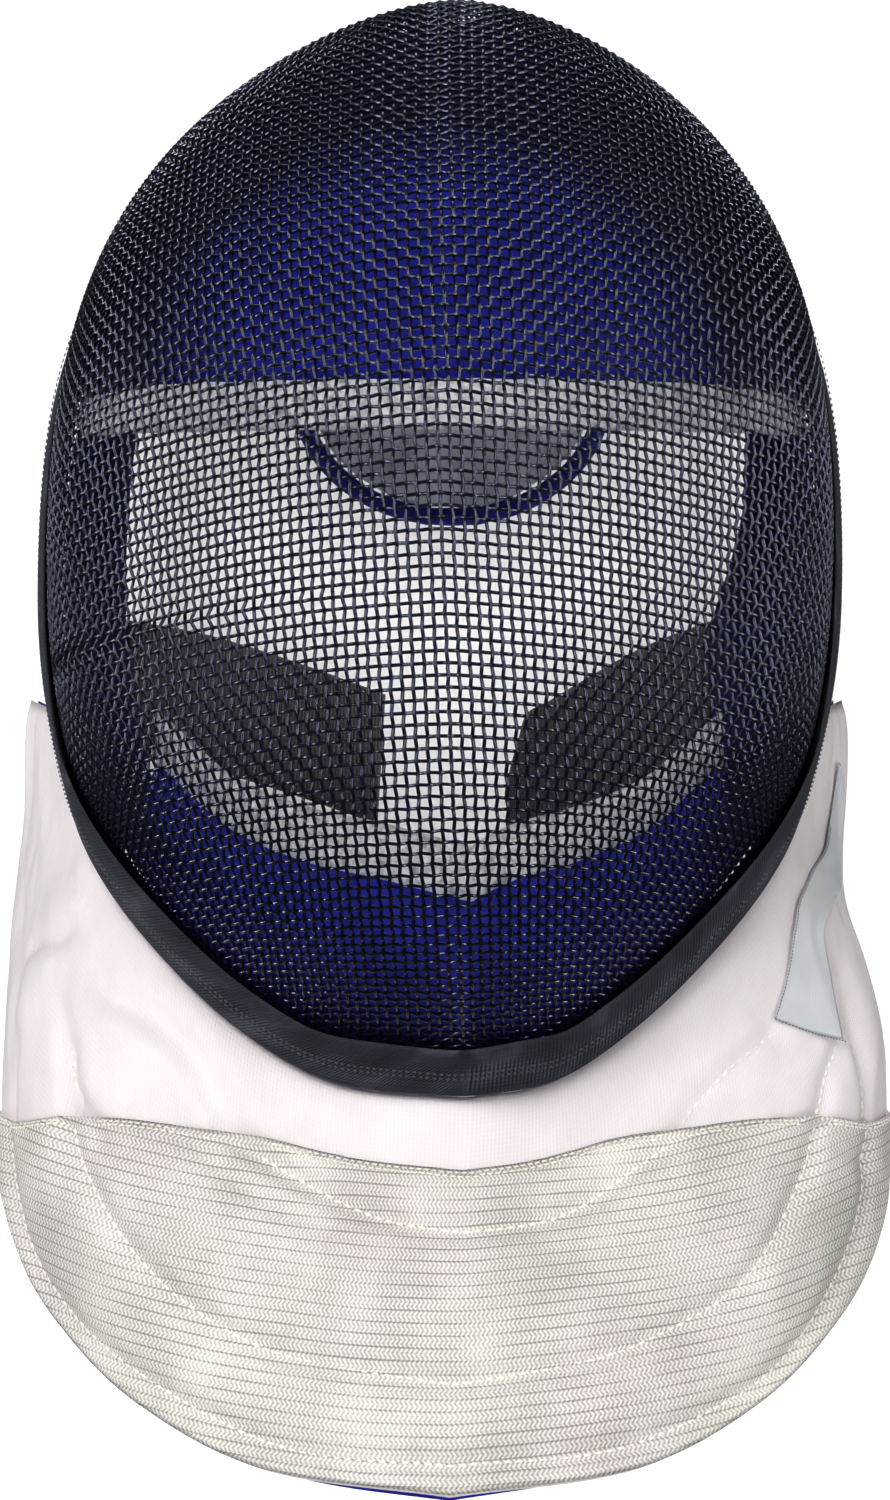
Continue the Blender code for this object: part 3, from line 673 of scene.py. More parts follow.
def edgeTrim():
    height = form["wall"] / 2 + trim["gap"] + trim["thickness"] / 2
    fold = trim["gap"] + trim["thickness"] / 2
    section = [(trim["width"] * (1 - step / 10), height) for step in range(11)]
    section += [(-fold * math.sin(a), height * math.cos(a)) for a in (0.5, 1.0, 1.57, 2.14, 2.64)]
    section += [(trim["innerWidth"] * step / 5, -height) for step in range(6)]
    grid = []
    for point, normal, inward in edgeFrames(trim["steps"]):
        row = []
        for reach, rise in section:
            if reach > 0:
                base, lift = outward(point + inward * reach)
                lift = (lift + normal).normalized()
            else:
                base, lift = point + inward * reach, normal
            row.append(base + lift * rise)
        grid.append(row)
    for round in range(3):  # the tape runs smoothly over small kinks of the edge
        grid = [[(grid[r - 1][c] + point * 2 + grid[(r + 1) % len(grid)][c]) / 4 for c, point in enumerate(row)]
                for r, row in enumerate(grid)]

    def relief(r, c):
        share = min(c / 10, 1.0)
        wave = noise.noise(Vector((r * 0.07, c * 0.25, 3.0))) * 0.00025
        groove = -0.0004 * math.exp(-((share - 0.62) / 0.07) ** 2)
        return trim["roll"] * math.sin(math.pi * share) + wave + groove
    made = sheetMesh("webbing_trim", grid, trim["thickness"], webbingFinish(), relief, closed=True)
    settle(made, "navy_webbing", "edge_trim")
    return grid


def webbingFinish():  # dark navy polyester tape, ribbed across its length, with a soft dull sheen; its ribs are painted lighter across the middle as a painted highlight on the tape's roll, and fade dark towards both edges
    made, tree, shader = shade("ribbed_navy_tape", "#10131b", 0.7, Specular_IOR_Level=0.1, Sheen_Weight=0.10,
                               Sheen_Roughness=0.4, Sheen_Tint=linear("#7f8fb0"))
    place, threads, ribs = clothNodes(tree, 0.0016, trim["rib"])
    across = add(tree, "ShaderNodeSeparateXYZ", Vector=place).outputs["X"]
    cloth = calc(tree, "MULTIPLY_ADD", threads, 0.25, ribs)
    # painted highlight: the ribs lighten only across the middle of the tape, where its roll meets the light,
    # and fade dark towards both edges
    inner, outer = spread(tree, across, -0.0150, -0.0125), spread(tree, across, -0.0010, -0.0045)
    middle = calc(tree, "MULTIPLY", inner, outer)
    lit = calc(tree, "MULTIPLY", middle, cloth)
    tone = calc(tree, "MULTIPLY_ADD", lit, 0.22, clouds(tree, place, 60.0, 4.0))
    dye(tree, shader, tone, (0.25, "#13141a"), (0.55, "#24252f"), (0.85, "#4c4e5b"))
    rough(tree, shader, cloth, 0.5, 0.0002)
    return made


print("making the trim")
trimGrid = edgeTrim()

bib = {
    "halfWidth": 0.128, "reach": 0.122, "height": 0.215, "bottom": 0.248, "front": 0.087, "lean": 0.0028,
    "tuck": 0.0070, "wall": 0.004, "seat": 0.0058, "earSeat": 0.0018, "gap": 0.0007, "liningGap": 0.0009,
    "panelWall": 0.0010, "liningWall": 0.0012, "overhang": 0.0022, "tuckUp": 0.0016,
    "columns": 230, "rows": 76,
    "seamDepth": 0.0021, "seamWidth": 0.0032,
    "puff": 0.0006, "puffReach": 0.010,  # how the padding swells beside a seam
    "panelFoot": 0.998,  # where the panel ends, just short of the hem
    "hemRows": (0.010, 0.020),  # how far below the panel's top its two rows of stitches run
}

ribs = table("place edge side back drop swell", (
    (0.0, 0.0, 0.0, 0.0, 1.0, 0.02), (0.12, 0.058, 0.387, 0.098, 0.976, 0.04),
    (0.22, 0.100, 0.630, 0.254, 0.916, 0.07), (0.34, 0.165, 0.805, 0.443, 0.837, 0.09),
    (0.46, 0.222, 0.918, 0.590, 0.749, 0.09), (0.58, 0.270, 0.975, 0.738, 0.623, 0.08),
    (0.70, 0.315, 0.982, 0.870, 0.498, 0.06), (0.82, 0.360, 0.965, 0.985, 0.340, 0.04),
    (0.92, 0.400, 0.950, 1.080, 0.190, 0.02), (1.0, 0.440, 0.950, 1.150, 0.012, 0.0),
))

borders = table("place above", (
    (0.0, 0.195), (0.15, 0.20), (0.25, 0.29), (0.35, 0.41), (0.44, 0.54), (0.54, 0.76), (0.62, 0.96),
))

# folds of the cloth: place across, share of the rib, length, width, depth, turn
folds = (
    (0.52, 0.55, 0.060, 0.012, 0.0016, 0.9), (-0.62, 0.50, 0.045, 0.011, 0.0016, -0.5),
)

# smaller puckers that only the cloth shows
puckers = (
    (-0.70, 0.22, 0.030, 0.006, 0.0011, -0.9), (-0.78, 0.40, 0.034, 0.007, 0.0012, -0.3),
    (-0.50, 0.28, 0.026, 0.006, 0.0010, -1.1), (-0.58, 0.62, 0.036, 0.008, 0.0012, 0.2),
    (-0.40, 0.20, 0.020, 0.005, 0.0007, -1.2), (0.44, 0.22, 0.040, 0.007, 0.0010, 1.2),
    (0.36, 0.16, 0.040, 0.008, -0.0008, 1.4), (0.60, 0.70, 0.030, 0.008, 0.0012, 0.5),
    (0.70, 0.85, 0.030, 0.009, 0.0010, 0.2), (0.25, 0.10, 0.040, 0.006, 0.0006, 1.5),
    (-0.86, 0.62, 0.040, 0.009, 0.0012, 0.1), (0.88, 0.80, 0.030, 0.008, 0.0010, 0.1),
)


def bibFold(across, down, rows):
    depth = 0.0
    for foldAcross, foldDown, length, width, deep, turn in rows:
        sideways = (across - foldAcross) * bib["halfWidth"]
        below = (down - foldDown) * bib["height"] / 2
        lengthwise = (sideways * math.sin(turn) + below * math.cos(turn)) / length
        crosswise = (sideways * math.cos(turn) - below * math.sin(turn)) / width
        depth += deep * math.exp(-lengthwise ** 2 - crosswise ** 2)
    return depth


# long soft creases of the cloth, as spots on the bib, with their depth and width
creases = table("depth width spots", (
    (0.0034, 0.0044, ((-0.50, 0.14), (-0.455, 0.18), (-0.41, 0.16), (-0.36, 0.13), (-0.305, 0.13),
                      (-0.26, 0.14), (-0.235, 0.18), (-0.21, 0.20), (-0.175, 0.25), (-0.12, 0.28))),
    (-0.0010, 0.0060, ((-0.42, 0.10), (-0.375, 0.08), (-0.32, 0.05), (-0.28, 0.06), (-0.24, 0.09),
                       (-0.20, 0.13))),
    (0.0024, 0.0036, ((-0.585, 0.15), (-0.615, 0.25), (-0.665, 0.38), (-0.715, 0.53))),
    (-0.0014, 0.0060, ((-0.60, 0.12), (-0.66, 0.22), (-0.72, 0.38))),
    (0.0018, 0.0036, ((-0.545, 0.24), (-0.50, 0.32), (-0.455, 0.38), (-0.42, 0.46), (-0.40, 0.54),
                      (-0.37, 0.60))),
    (0.0020, 0.0032, ((-0.43, 0.44), (-0.38, 0.44), (-0.33, 0.47))),
    (0.0020, 0.0045, ((0.27, 0.25), (0.355, 0.32), (0.485, 0.38))),
    (0.0020, 0.0048, ((0.36, 0.44), (0.44, 0.62), (0.50, 0.80))),
    (0.0020, 0.0055, ((0.66, 0.40), (0.60, 0.52), (0.55, 0.66))),
    (-0.0014, 0.0065, ((0.20, 0.14), (0.30, 0.17), (0.40, 0.20))),
    (0.0016, 0.0048, ((-0.70, 0.62), (-0.62, 0.70), (-0.56, 0.86))),
    (0.0018, 0.0040, ((-0.30, 0.22), (-0.24, 0.30), (-0.16, 0.35), (-0.08, 0.37))),
))

neckBack = fanCentre.y + 0.6 * form["rearReach"]


def bibStart(place, side):  # where a rib of the bib meets the fold of the trim
    point = edgeAt(place, side)
    step = 0.004
    if place < step:
        along = edgeAt(step, 1) - edgeAt(step, -1)
    else:
        along = edgeAt(place + step, side) - edgeAt(place - step, side)
    inward = towardsNose(point, outward(point)[1], along)
    return point - inward * (bib["seat"] + bib["earSeat"] * (place / ribs[-1].edge) ** 2)


startCache = {}


def bibPoint(across, down):  # middle of the bib's wall, ear to ear and cage to hem
    if across not in startCache:
        side = 1 if across >= 0 else -1
        rib = lookUp(ribs, abs(across))
        tuck = bib["tuck"] * math.exp(-((across - 0.86) / 0.09) ** 2)
        end = Vector((
            side * rib.side * bib["halfWidth"] + mix(-bib["lean"] / 3, bib["lean"], rib.drop) - tuck,
            -bib["front"] + rib.back * bib["reach"],
            fanCentre.z - bib["bottom"] + (1 - rib.drop) * bib["height"],
        ))
        startCache[across] = (bibStart(rib.edge, side), end, rib.swell)
    start, end, swell = startCache[across]
    point = start.lerp(end, down)
    out = Vector((point.x, point.y - neckBack, 0.0)).normalized()
    lift = swell * (end - start).length * math.sin(math.pi * min(down, 1.0))
    return point + out * (lift + bibFold(across, down, folds))


def bibGrid(columns, rows):
    return [[bibPoint(2 * column / columns - 1, row / rows) for column in range(columns + 1)]
            for row in range(rows + 1)]


# seams as spots on the bib, each a place across and a share of the rib
seams = {
    "inner": ((-0.214, 0.238), (-0.143, 0.263), (-0.093, 0.30), (-0.043, 0.338), (0.0, 0.348), (0.043, 0.35),
              (0.10, 0.338), (0.164, 0.30), (0.221, 0.283), (0.255, 0.25), (0.315, 0.235), (0.41, 0.255)),
    "middle": ((-0.465, 0.38), (-0.425, 0.455), (-0.385, 0.52), (-0.321, 0.588), (-0.236, 0.663), (-0.15, 0.70),
               (-0.071, 0.713), (0.0, 0.725), (0.064, 0.713), (0.15, 0.70), (0.243, 0.688), (0.329, 0.60),
               (0.40, 0.51), (0.43, 0.475), (0.465, 0.45), (0.515, 0.46)),
    "outer": ((-0.60, 0.62), (-0.57, 0.74), (-0.536, 0.825), (-0.45, 0.913), (-0.343, 0.938), (-0.236, 0.925),
              (-0.15, 0.925), (-0.071, 0.938), (0.0, 0.925), (0.079, 0.938), (0.164, 0.938), (0.25, 0.95),
              (0.35, 0.913), (0.45, 0.825), (0.52, 0.70), (0.565, 0.56), (0.60, 0.42)),
}


def softLine(spots, steps=12):  # a smooth line through spots
    result = []
    for index in range(len(spots) - 1):
        before, start = spots[max(index - 1, 0)], spots[index]
        end, after = spots[index + 1], spots[min(index + 2, len(spots) - 1)]
        for step in range(steps):
            t = step / steps
            result.append(tuple(
                0.5 * (2 * b + (c - a) * t + (2 * a - 5 * b + 4 * c - d) * t ** 2
                       + (3 * b - a - 3 * c + d) * t ** 3)
                for a, b, c, d in zip(before, start, end, after)))
    result.append(spots[-1])
    return result


def panelTop(across):  # the upper border of the panel
    return lookUp(borders, abs(across)).above


def softRoute(points, steps, count):  # a smooth line through points of space, in equal steps
    return resample([Vector(spot) for spot in softLine([tuple(point) for point in points], steps)], count)


seamLines = {name: softLine(spots) for name, spots in seams.items()}
borderLine = [(place, panelTop(place)) for place in (-0.625 + 1.25 * step / 150 for step in range(151))]


def treeOf(spots):  # spots of the bib for nearest-point questions
    tree = KDTree(len(spots))
    for index, spot in enumerate(spots):
        tree.insert(bibPoint(*spot), index)
    tree.balance()
    return tree


def creaseHeight():  # how far the creases sink the cloth at a point
    found = []
    for crease in creases:
        line = softLine(crease.spots)
        found.append((treeOf(line), len(line), crease))

    def height(point):
        total = 0.0
        for tree, count, crease in found:
            index, away = tree.find(point)[1:]
            if away < 3 * crease.width:
                fade = math.sqrt(math.sin(math.pi * (index + 0.5) / count))
                total -= crease.depth * fade * math.exp(-(away / crease.width) ** 2)
        return total
    return height


seamTree = treeOf([spot for line in seamLines.values() for spot in line])
creased = creaseHeight()


def bibSwell(across, down):  # seams, padding, creases and puckers of the bib, the panel and their thread
    point = bibPoint(across, down)
    near = seamTree.find(point)[2]
    seam = bib["puff"] * (1 - math.exp(-(near / bib["puffReach"]) ** 2))
    seam -= bib["seamDepth"] * math.exp(-(near / bib["seamWidth"]) ** 2)
    soft = noise.noise(Vector((across * 9.0, down * 5.0, 1.7))) * 0.0007
    soft += noise.noise(Vector((across * 24.0, down * 9.0, 5.1))) * 0.0003
    soft *= min(1.0, 0.35 + abs(across) * 1.2)
    return seam + soft + creased(point) + bibFold(across, down, puckers)


def bibShell():
    rows, columns = bib["rows"], bib["columns"]
    grid = bibGrid(columns, rows)

    def relief(r, c):
        return bibSwell(2 * c / columns - 1, r / rows)
    made = sheetMesh("white_bib", grid, bib["wall"], whiteCloth(), relief)
    settlePadded(made, "white_cotton", "bib_shell")
    lining = shifted(grid, -(bib["wall"] / 2 + bib["liningGap"] + bib["liningWall"] / 2))
    for r in (-1, -2, -3, -4):
        for column, point in enumerate(lining[r]):
            across = 2 * column / columns - 1
            shows = bib["overhang"] * max(1 - ((across + 0.02) / 0.12) ** 2, 0.0)
            longer = (shows - bib["tuckUp"]) * (5 + r) / 4
            point += (lining[-1][column] - lining[-8][column]).normalized() * longer
    blue = liningCloth("#1d1fa0", "#15167c", "#2c2ec4")
    inside = sheetMesh("blue_bib_lining", lining, bib["liningWall"], blue)
    settle(inside, "blue_cotton", "bib_lining")


def whiteCloth():  # white ballistic cotton, fine upright ribs, matt with a hint of pink in its shade
    made, tree, shader = shade("white_ballistic_cotton", "#f4eef0", 0.85, Specular_IOR_Level=0.1,
                               Sheen_Weight=0.2)
    place, ribs, picks = clothNodes(tree, 0.0011, 0.0013)
    weave = calc(tree, "MULTIPLY_ADD", picks, 0.4, ribs)
    tone = calc(tree, "MULTIPLY_ADD", weave, 0.10, clouds(tree, place, 45.0, 5.0))
    dye(tree, shader, tone, (0.2, "#e4dbdd"), (0.6, "#eee6e8"), (0.9, "#f5eff0"))
    rough(tree, shader, weave, 0.22, 0.00015)
    return made


def liningCloth(middle, dark, light, name="lining"):  # close woven nylon, dull blue with a soft bloom
    made, tree, shader = shade("woven_" + name + "_" + middle[1:], middle, 0.8, Specular_IOR_Level=0.1,
                               Sheen_Weight=0.3, Sheen_Tint=linear(light))
    place, ribs, picks = clothNodes(tree, 0.0012, 0.0012)
    weave = calc(tree, "MULTIPLY", ribs, picks)
    tone = calc(tree, "MULTIPLY_ADD", weave, 0.12, clouds(tree, place, 70.0, 5.0))
    dye(tree, shader, tone, (0.25, dark), (0.55, middle), (0.85, light))
    rough(tree, shader, tone, 0.4, 0.0004)
    return made


def conductivePanel():
    rows, columns = 52, 200
    reach = borders[-1].place
    spots = []
    for row in range(rows + 1):
        line = []
        for column in range(columns + 1):
            place = (2 * column / columns - 1) * reach
            line.append((place, mix(panelTop(place), bib["panelFoot"], row / rows)))
        spots.append(line)
    grid = shifted([[bibPoint(*spot) for spot in line] for line in spots],
                   bib["wall"] / 2 + bib["gap"] + bib["panelWall"] / 2)

    lift = {(r, c): bibSwell(*spots[r][c]) for r in range(rows + 1) for c in range(columns + 1)}

    def relief(r, c):
        return lift[r, c]

    def under(r, c):
        return -lift[r, c]

    def threads(r, c, point):  # the cloth was cut with its threads level, and sags a little in the middle
        return (math.atan2(point.x, 0.05 - point.y) * 0.13, point.z - 1.15 * point.x ** 2)
    made = sheetMesh("conductive_panel", grid, bib["panelWall"], conductiveCloth(), relief, under, uv=threads)
    settle(made, "conductive_cloth", "bib_conductive_panel")


def conductiveCloth():  # silvered threads on a cream cloth: zigzag uprights, darker cross threads every few mm
    made, tree, shader = shade("silvered_cloth", "#d3d3c9", 0.55, Specular_IOR_Level=0.1, Metallic=0.08,
                               Sheen_Weight=0.15)
    place = add(tree, "ShaderNodeUVMap").outputs[0]
    x, y, z = add(tree, "ShaderNodeSeparateXYZ", Vector=place).outputs
    shiftX = calc(tree, "MULTIPLY_ADD", calc(tree, "PINGPONG", y, 0.0012), 0.75, x)
    uprights = calc(tree, "SINE", calc(tree, "MULTIPLY", shiftX, 2 * math.pi / 0.0013))
    bend = calc(tree, "MULTIPLY_ADD", clouds(tree, place, 14.0, 2.0), 0.0035, y)
    line = spread(tree, calc(tree, "PINGPONG", bend, 0.00158), 0.0, 0.00034, 0.7, 0.0)
    faint = spread(tree, calc(tree, "PINGPONG", bend, 0.00053), 0.0, 0.0003, 0.16, 0.0)
    gate = spread(tree, clouds(tree, place, 45.0, 3.0), 0.30, 0.60)
    both = calc(tree, "ADD", calc(tree, "MULTIPLY", line, gate), faint)
    tone = calc(tree, "MULTIPLY_ADD", uprights, 0.28, clouds(tree, place, 28.0, 4.0))
    tone = calc(tree, "SUBTRACT", tone, both)
    grey = ramp(tree, tone, (0.0, "#93908c"), (0.3, "#bfbbb7"), (0.55, "#dad6d2"), (0.85, "#efebe8"))
    patches = clouds(tree, place, 20.0, 3.0)
    tint = ramp(tree, patches, (0.38, "#fcfcf6"), (0.50, "#fcfbf9"), (0.64, "#fcf9fa"))
    tinted = add(tree, "ShaderNodeMix", {"data_type": "RGBA", "blend_type": "MULTIPLY"}, Factor=1.0,
                 i6=grey, i7=tint)
    tree.links.new(tinted.outputs[2], shader.inputs["Base Color"])
    rough(tree, shader, calc(tree, "MULTIPLY_ADD", both, -1.5, uprights), 0.45, 0.0002)
    return made


def threadTree(finish):  # short stitches laid along each chain
    tree, source, *names = growTree("stitches", Pitch="Float", Length="Float", Thickness="Float")
    pitch, length, thick = (source.outputs[label] for label in ("Pitch", "Length", "Thickness"))
    curve = add(tree, "GeometryNodeMeshToCurve", Mesh=source.outputs["Geometry"])
    spots = add(tree, "GeometryNodeResampleCurve", {"mode": "LENGTH"}, Curve=curve.outputs[0], Length=pitch)
    tangent = add(tree, "GeometryNodeInputTangent")
    turn = add(tree, "FunctionNodeAlignEulerToVector", {"axis": "X"}, Vector=tangent.outputs[0])
    bead = add(tree, "GeometryNodeMeshUVSphere", Segments=6, Rings=5, Radius=0.5)
    size = add(tree, "ShaderNodeCombineXYZ", X=length, Y=thick, Z=thick)
    laid = add(tree, "GeometryNodeInstanceOnPoints", Points=spots.outputs[0], Instance=bead.outputs[0],
               Rotation=turn.outputs[0], Scale=size.outputs[0])
    coated(tree, laid.outputs[0], finish)
    return tree, names


def thread(name, colour):  # twisted polyester thread, a little glossier than the cloth
    made, tree, shader = shade(name, colour, 0.5, Sheen_Weight=0.2)
    place = add(tree, "ShaderNodeTexCoord").outputs["Object"]
    twist = add(tree, "ShaderNodeTexWave", {"bands_direction": "DIAGONAL"}, Vector=place, Scale=900.0)
    rough(tree, shader, twist.outputs[0], 0.4, 0.0001)
    return made


# pitch, length and thickness of each row of stitches
stitches = {
    "bib_seam_stitches": (0.0031, 0.0026, 0.0009), "panel_border_stitches": (0.0021, 0.0017, 0.0006),
    "trim_stitches": (0.0019, 0.0010, 0.00045), "label_edge_stitches": (0.0011, 0.0009, 0.0003),
}


def sew(name, lines, threaded, slot):  # one piece of stitches along some lines
    tree, names = threaded
    grow(plainLines(name + "_lines", lines), tree, dict(zip(names, stitches[name])), name, slot)


def bibLift(across, down):  # height of the stitches over the bib's wall
    inPanel = abs(across) < borders[-1].place and down > panelTop(across)
    return bib["wall"] / 2 + (bib["gap"] + bib["panelWall"] if inPanel else 0.0)


def onBib(spots):  # spots of the bib as points on its cloth
    points = []
    for across, down in spots:
        point = bibPoint(across, down)
        beside = bibPoint(across + 0.004, down) - bibPoint(across - 0.004, down)
        below = bibPoint(across, down + 0.01) - bibPoint(across, down - 0.01)
        normal = below.cross(beside).normalized()
        points.append(point + normal * (bibLift(across, down) + bibSwell(across, down)))
    return points


def stitching():
    cream = threadTree(thread("cream_thread", "#f4f1e4"))
    sew("bib_seam_stitches", [onBib(line) for line in seamLines.values()], cream, "conductive_cloth")
    rows = [onBib([(place, above + drop) for place, above in borderLine]) for drop in bib["hemRows"]]
    sew("panel_border_stitches", rows, cream, "conductive_cloth")


def trimStitches():  # two rows of fine dark stitches that hold the tape to the mesh
    lines = []
    rise = trim["thickness"] / 2 + trim["roll"]
    for column in trim["stitched"]:
        line = [row[column] + outward(row[column])[1] * rise for row in trimGrid]
        lines.append(line + line[:1])
    sew("trim_stitches", lines, threadTree(thread("navy_thread", "#1d2130")), "navy_webbing")


trimStitches()
print("making the bib")
bibShell()
conductivePanel()
stitching()


pads = {
    "crown": 0.010, "gap": 0.0010, "drop": 0.047, "standOff": 0.058,
    "bandHeight": 0.010, "bandThickness": 0.006,
    "side": 0.006, "sideLength": 0.036, "setback": 0.003, "roll": 0.014, "rightRoll": 0.9,
    "chin": 0.005, "chinHeight": 0.052, "chinHalfWidth": 0.072, "chinGap": 0.0030, "chinStandOff": 0.078,
    "chinBandHeight": 0.012, "chinBandThickness": 0.007,
    "chinReach": 1.13,  # the covers run past the solid's corners to the side linings
    "panelWide": 0.080, "panelHigh": 0.074, "panelFoot": 0.107,  # the blue of the forehead pad; past it the cover is painted near black, a painted shade over the crown and at the sides
    "crinkle": 0.0012, "crinkleSize": 0.0042,  # the velour's gathers
    "core": 0.8,  # share of a band's thickness that lies under its gathers
    "sideFoot": 0.298, "sideTop": 0.640,  # stretch of the edge that a side lining covers
    "chinSpread": 0.252,  # how far up the edge the chin pad reaches
}

padRows = table("place middleBack middleUp sideBack sideUp", (
    (0.0, 2.88, 0.93, 2.68, 0.580), (0.2, 2.45, 1.02, 2.62, 0.425), (0.4, 1.98, 1.02, 2.52, 0.280),
    (0.6, 1.35, 0.86, 2.36, 0.150), (0.8, 1.04, 0.46, 2.12, 0.055), (1.0, 1.00, 0.0, 1.95, -0.01),
))

chinRows = table("place back up", (
    (0.0, 1.0, 1.0), (0.25, 1.03, 1.12), (0.5, 1.12, 1.20), (0.8, 1.32, 1.36), (1.0, 1.52, 1.58),
))


def pulledIn(y, z, inset):  # a point of the side view, brought inside a smaller cage
    forward, up = sideShares(y, z)
    reach = fanAt(angleOf(forward, up)).reach - inset / form["frontReach"]
    share = min(reach / math.hypot(forward, up), 1.0)
    return sidePoint(forward * share, up * share)


def padGrid(columns, rows):
    low = fanCentre.z + pads["drop"]
    height = form["crownRise"] - pads["crown"] / 2 - pads["drop"]
    clear = form["wall"] / 2 + pads["gap"] + pads["crown"] / 2
    grid = []
    for row in range(rows + 1):
        pad = lookUp(padRows, row / rows)
        midY, midZ = pulledIn(nose.y + pad.middleBack * pads["standOff"], low + pad.middleUp * height, clear)
        endY, endZ = nose.y + pad.sideBack * pads["standOff"], low + pad.sideUp * height
        width = halfWidth(endY, endZ, clear)[1]
        line = []
        for side in (-1, 1):
            points = [Vector((lean(midZ), midY, midZ))]
            for step in range(1, 41):
                share = (step / 40) ** 2
                y, z = mix(midY, endY, share), mix(midZ, endZ, share)
                x = min(width * (1 - (1 - share) ** 2.4) ** (1 / 2.4), halfWidth(y, z, clear)[1])
                points.append(Vector((lean(z) + side * x, y, z)))
            line.append(resample(points, columns // 2))
        grid.append(line[0][:0:-1] + line[1])
    return grid


def smoothed(grid, rounds):  # each inner point moves towards its neighbours
    for step in range(rounds):
        grid = [[(grid[r - 1][c] + grid[r + 1][c] + row[c - 1] + row[c + 1]) / 4
                 if 0 < r < len(grid) - 1 and 0 < c < len(row) - 1 else point
                 for c, point in enumerate(row)] for r, row in enumerate(grid)]
    return grid


def crinkled(grid, height, size, seed):  # gathers of a soft velour drawn up on elastic
    def relief(r, c):
        spot = grid[r][c] / size
        gather = noise.noise(Vector((spot.x * 1.3, spot.y * 0.7, spot.z * 0.6 + seed)))
        small = noise.noise(Vector((spot.x * 2.6, spot.y * 2.0, spot.z * 1.7 + seed)))
        return height * (gather + 0.5 * small - 0.35)
    return relief


def foreheadPad():
    grid = smoothed(padGrid(72, 36), 2)

    def relief(r, c):
        soft = noise.noise(grid[r][c] * 38.0) * 0.0009
        quilt = -0.0012 * math.exp(-((r - 33) / 1.2) ** 2)
        return soft + quilt - 0.0010
    made = sheetMesh("forehead_pad_cover", grid, pads["crown"], foreheadCloth(), relief)
    settlePadded(made, "blue_lining", "forehead_pad")
    above, edge = padGrid(20, 8)[-2:]
    above, edge = resample(above, 140), resample(edge, 140)
    rows = []
    for step in range(13):
        drop = mix(-0.0035, pads["gap"] + pads["bandHeight"], step / 12)
        rows.append([low + (low - high).normalized() * drop for high, low in zip(above, edge)])
    silver = velour("#dedee2", "#a4a5ab", "#fafafb")
    band = sheetMesh("forehead_velour_band", rows, pads["bandThickness"] * pads["core"], silver,
                     crinkled(rows, pads["crinkle"], pads["crinkleSize"], 2.0))
    settlePadded(band, "grey_velour", "forehead_band")


def foreheadCloth():  # royal blue nylon at the brow, with near black painted shade over the crown and at the sides, where the pad turns away from the light
    made = liningCloth("#1a1d98", "#131678", "#2529ae", "forehead")
    tree = made.node_tree
    shader = tree.nodes["Principled BSDF"]
    blue = shader.inputs["Base Color"].links[0].from_socket
    place = add(tree, "ShaderNodeTexCoord").outputs["Object"]
    wide, high = pads["panelWide"], pads["panelHigh"]
    shape = add(tree, "ShaderNodeMapping", Vector=place, Location=(0.0, 0.0, pads["panelFoot"] / high),
                Scale=(1 / wide, 0.0, 1 / high))
    far = add(tree, "ShaderNodeVectorMath", {"operation": "LENGTH"}, i0=shape.outputs[0])
    # painted shade: past the ellipse the blue fades into near black over the crown and the sides of the pad
    share = add(tree, "ShaderNodeMapRange", Value=far.outputs["Value"], From_Min=0.74, From_Max=1.04)
    both = add(tree, "ShaderNodeMix", {"data_type": "RGBA"}, Factor=share.outputs[0])
    tree.links.new(blue, both.inputs[6])
    # the near black of the painted shade
    both.inputs[7].default_value = linear("#0e1128")
    tree.links.new(both.outputs[2], shader.inputs["Base Color"])
    return made


def velour(middle, dark, light):  # short silver pile, crushed here and there, with a soft sheen at its edges
    made, tree, shader = shade("crinkled_velour_" + middle[1:], middle, 0.7, Specular_IOR_Level=0.1,
                               Sheen_Weight=0.5, Sheen_Roughness=0.35)
    place = add(tree, "ShaderNodeTexCoord").outputs["Object"]
    crush = clouds(tree, place, 330.0, 4.0, Distortion=0.6)
    tone = calc(tree, "MULTIPLY_ADD", clouds(tree, place, 1500.0, 2.0), 0.3, crush)
    dye(tree, shader, tone, (0.45, dark), (0.62, middle), (0.8, light))
    rough(tree, shader, tone, 0.7, 0.0009)
    return made


def liningPoint(place, side, share):  # along the wall inside the trim, then rolled in towards the face
    edge = edgeAt(place, side)
    inset = form["wall"] / 2 + 2 * trim["gap"] + trim["thickness"] + pads["side"] / 2
    forward = pads["sideLength"] * max(0.8 - share, 0.0)
    wall = cagePoint(edge.y - forward - pads["setback"], edge.z, side, inset)
    turned = max(share - 0.8, 0.0) / 0.2
    more = pads["rightRoll"] if side > 0 else 0.0
    roll = pads["roll"] * (1 + more * math.exp(-((place - 0.48) / 0.08) ** 2))
    return wall + Vector((-side * roll * turned, pads["setback"] * turned, 0.0))


def sideLining(side):
    grid = []
    for row in range(61):
        place = mix(pads["sideFoot"], pads["sideTop"], row / 60)
        line = [liningPoint(place, side, share) for share in (0.0, 0.4, 0.8, 0.9, 1.0)]
        grid.append(softRoute(line, 5, 24))
    name = "right" if side > 0 else "left"

    def relief(r, c):
        return noise.noise(grid[r][c] * 45.0) * 0.0006 + 0.0006 - 0.0006 * math.exp(-((c - 3) / 1.1) ** 2)
    blue = liningCloth("#15184f", "#0e1038", "#22266c")
    made = sheetMesh("side_lining_cover_" + name, grid, pads["side"], blue, relief, relief)
    settlePadded(made, "side_lining_cloth", "side_lining_" + name)


def chinEdge(across):
    if abs(across) > 1:
        end = chinEdge(math.copysign(1.0, across))
        return end + (end - chinEdge(math.copysign(0.96, across))) * (abs(across) - 1) / 0.04
    chin = lookUp(chinRows, abs(across))
    return Vector((
        across * pads["chinHalfWidth"] + drift(fanCentre.z - form["chinDrop"]) * (1 - abs(across)) ** 4,
        nose.y + chin.back * pads["chinStandOff"],
        fanCentre.z - form["chinDrop"] + chin.up * pads["chinHeight"],
    ))


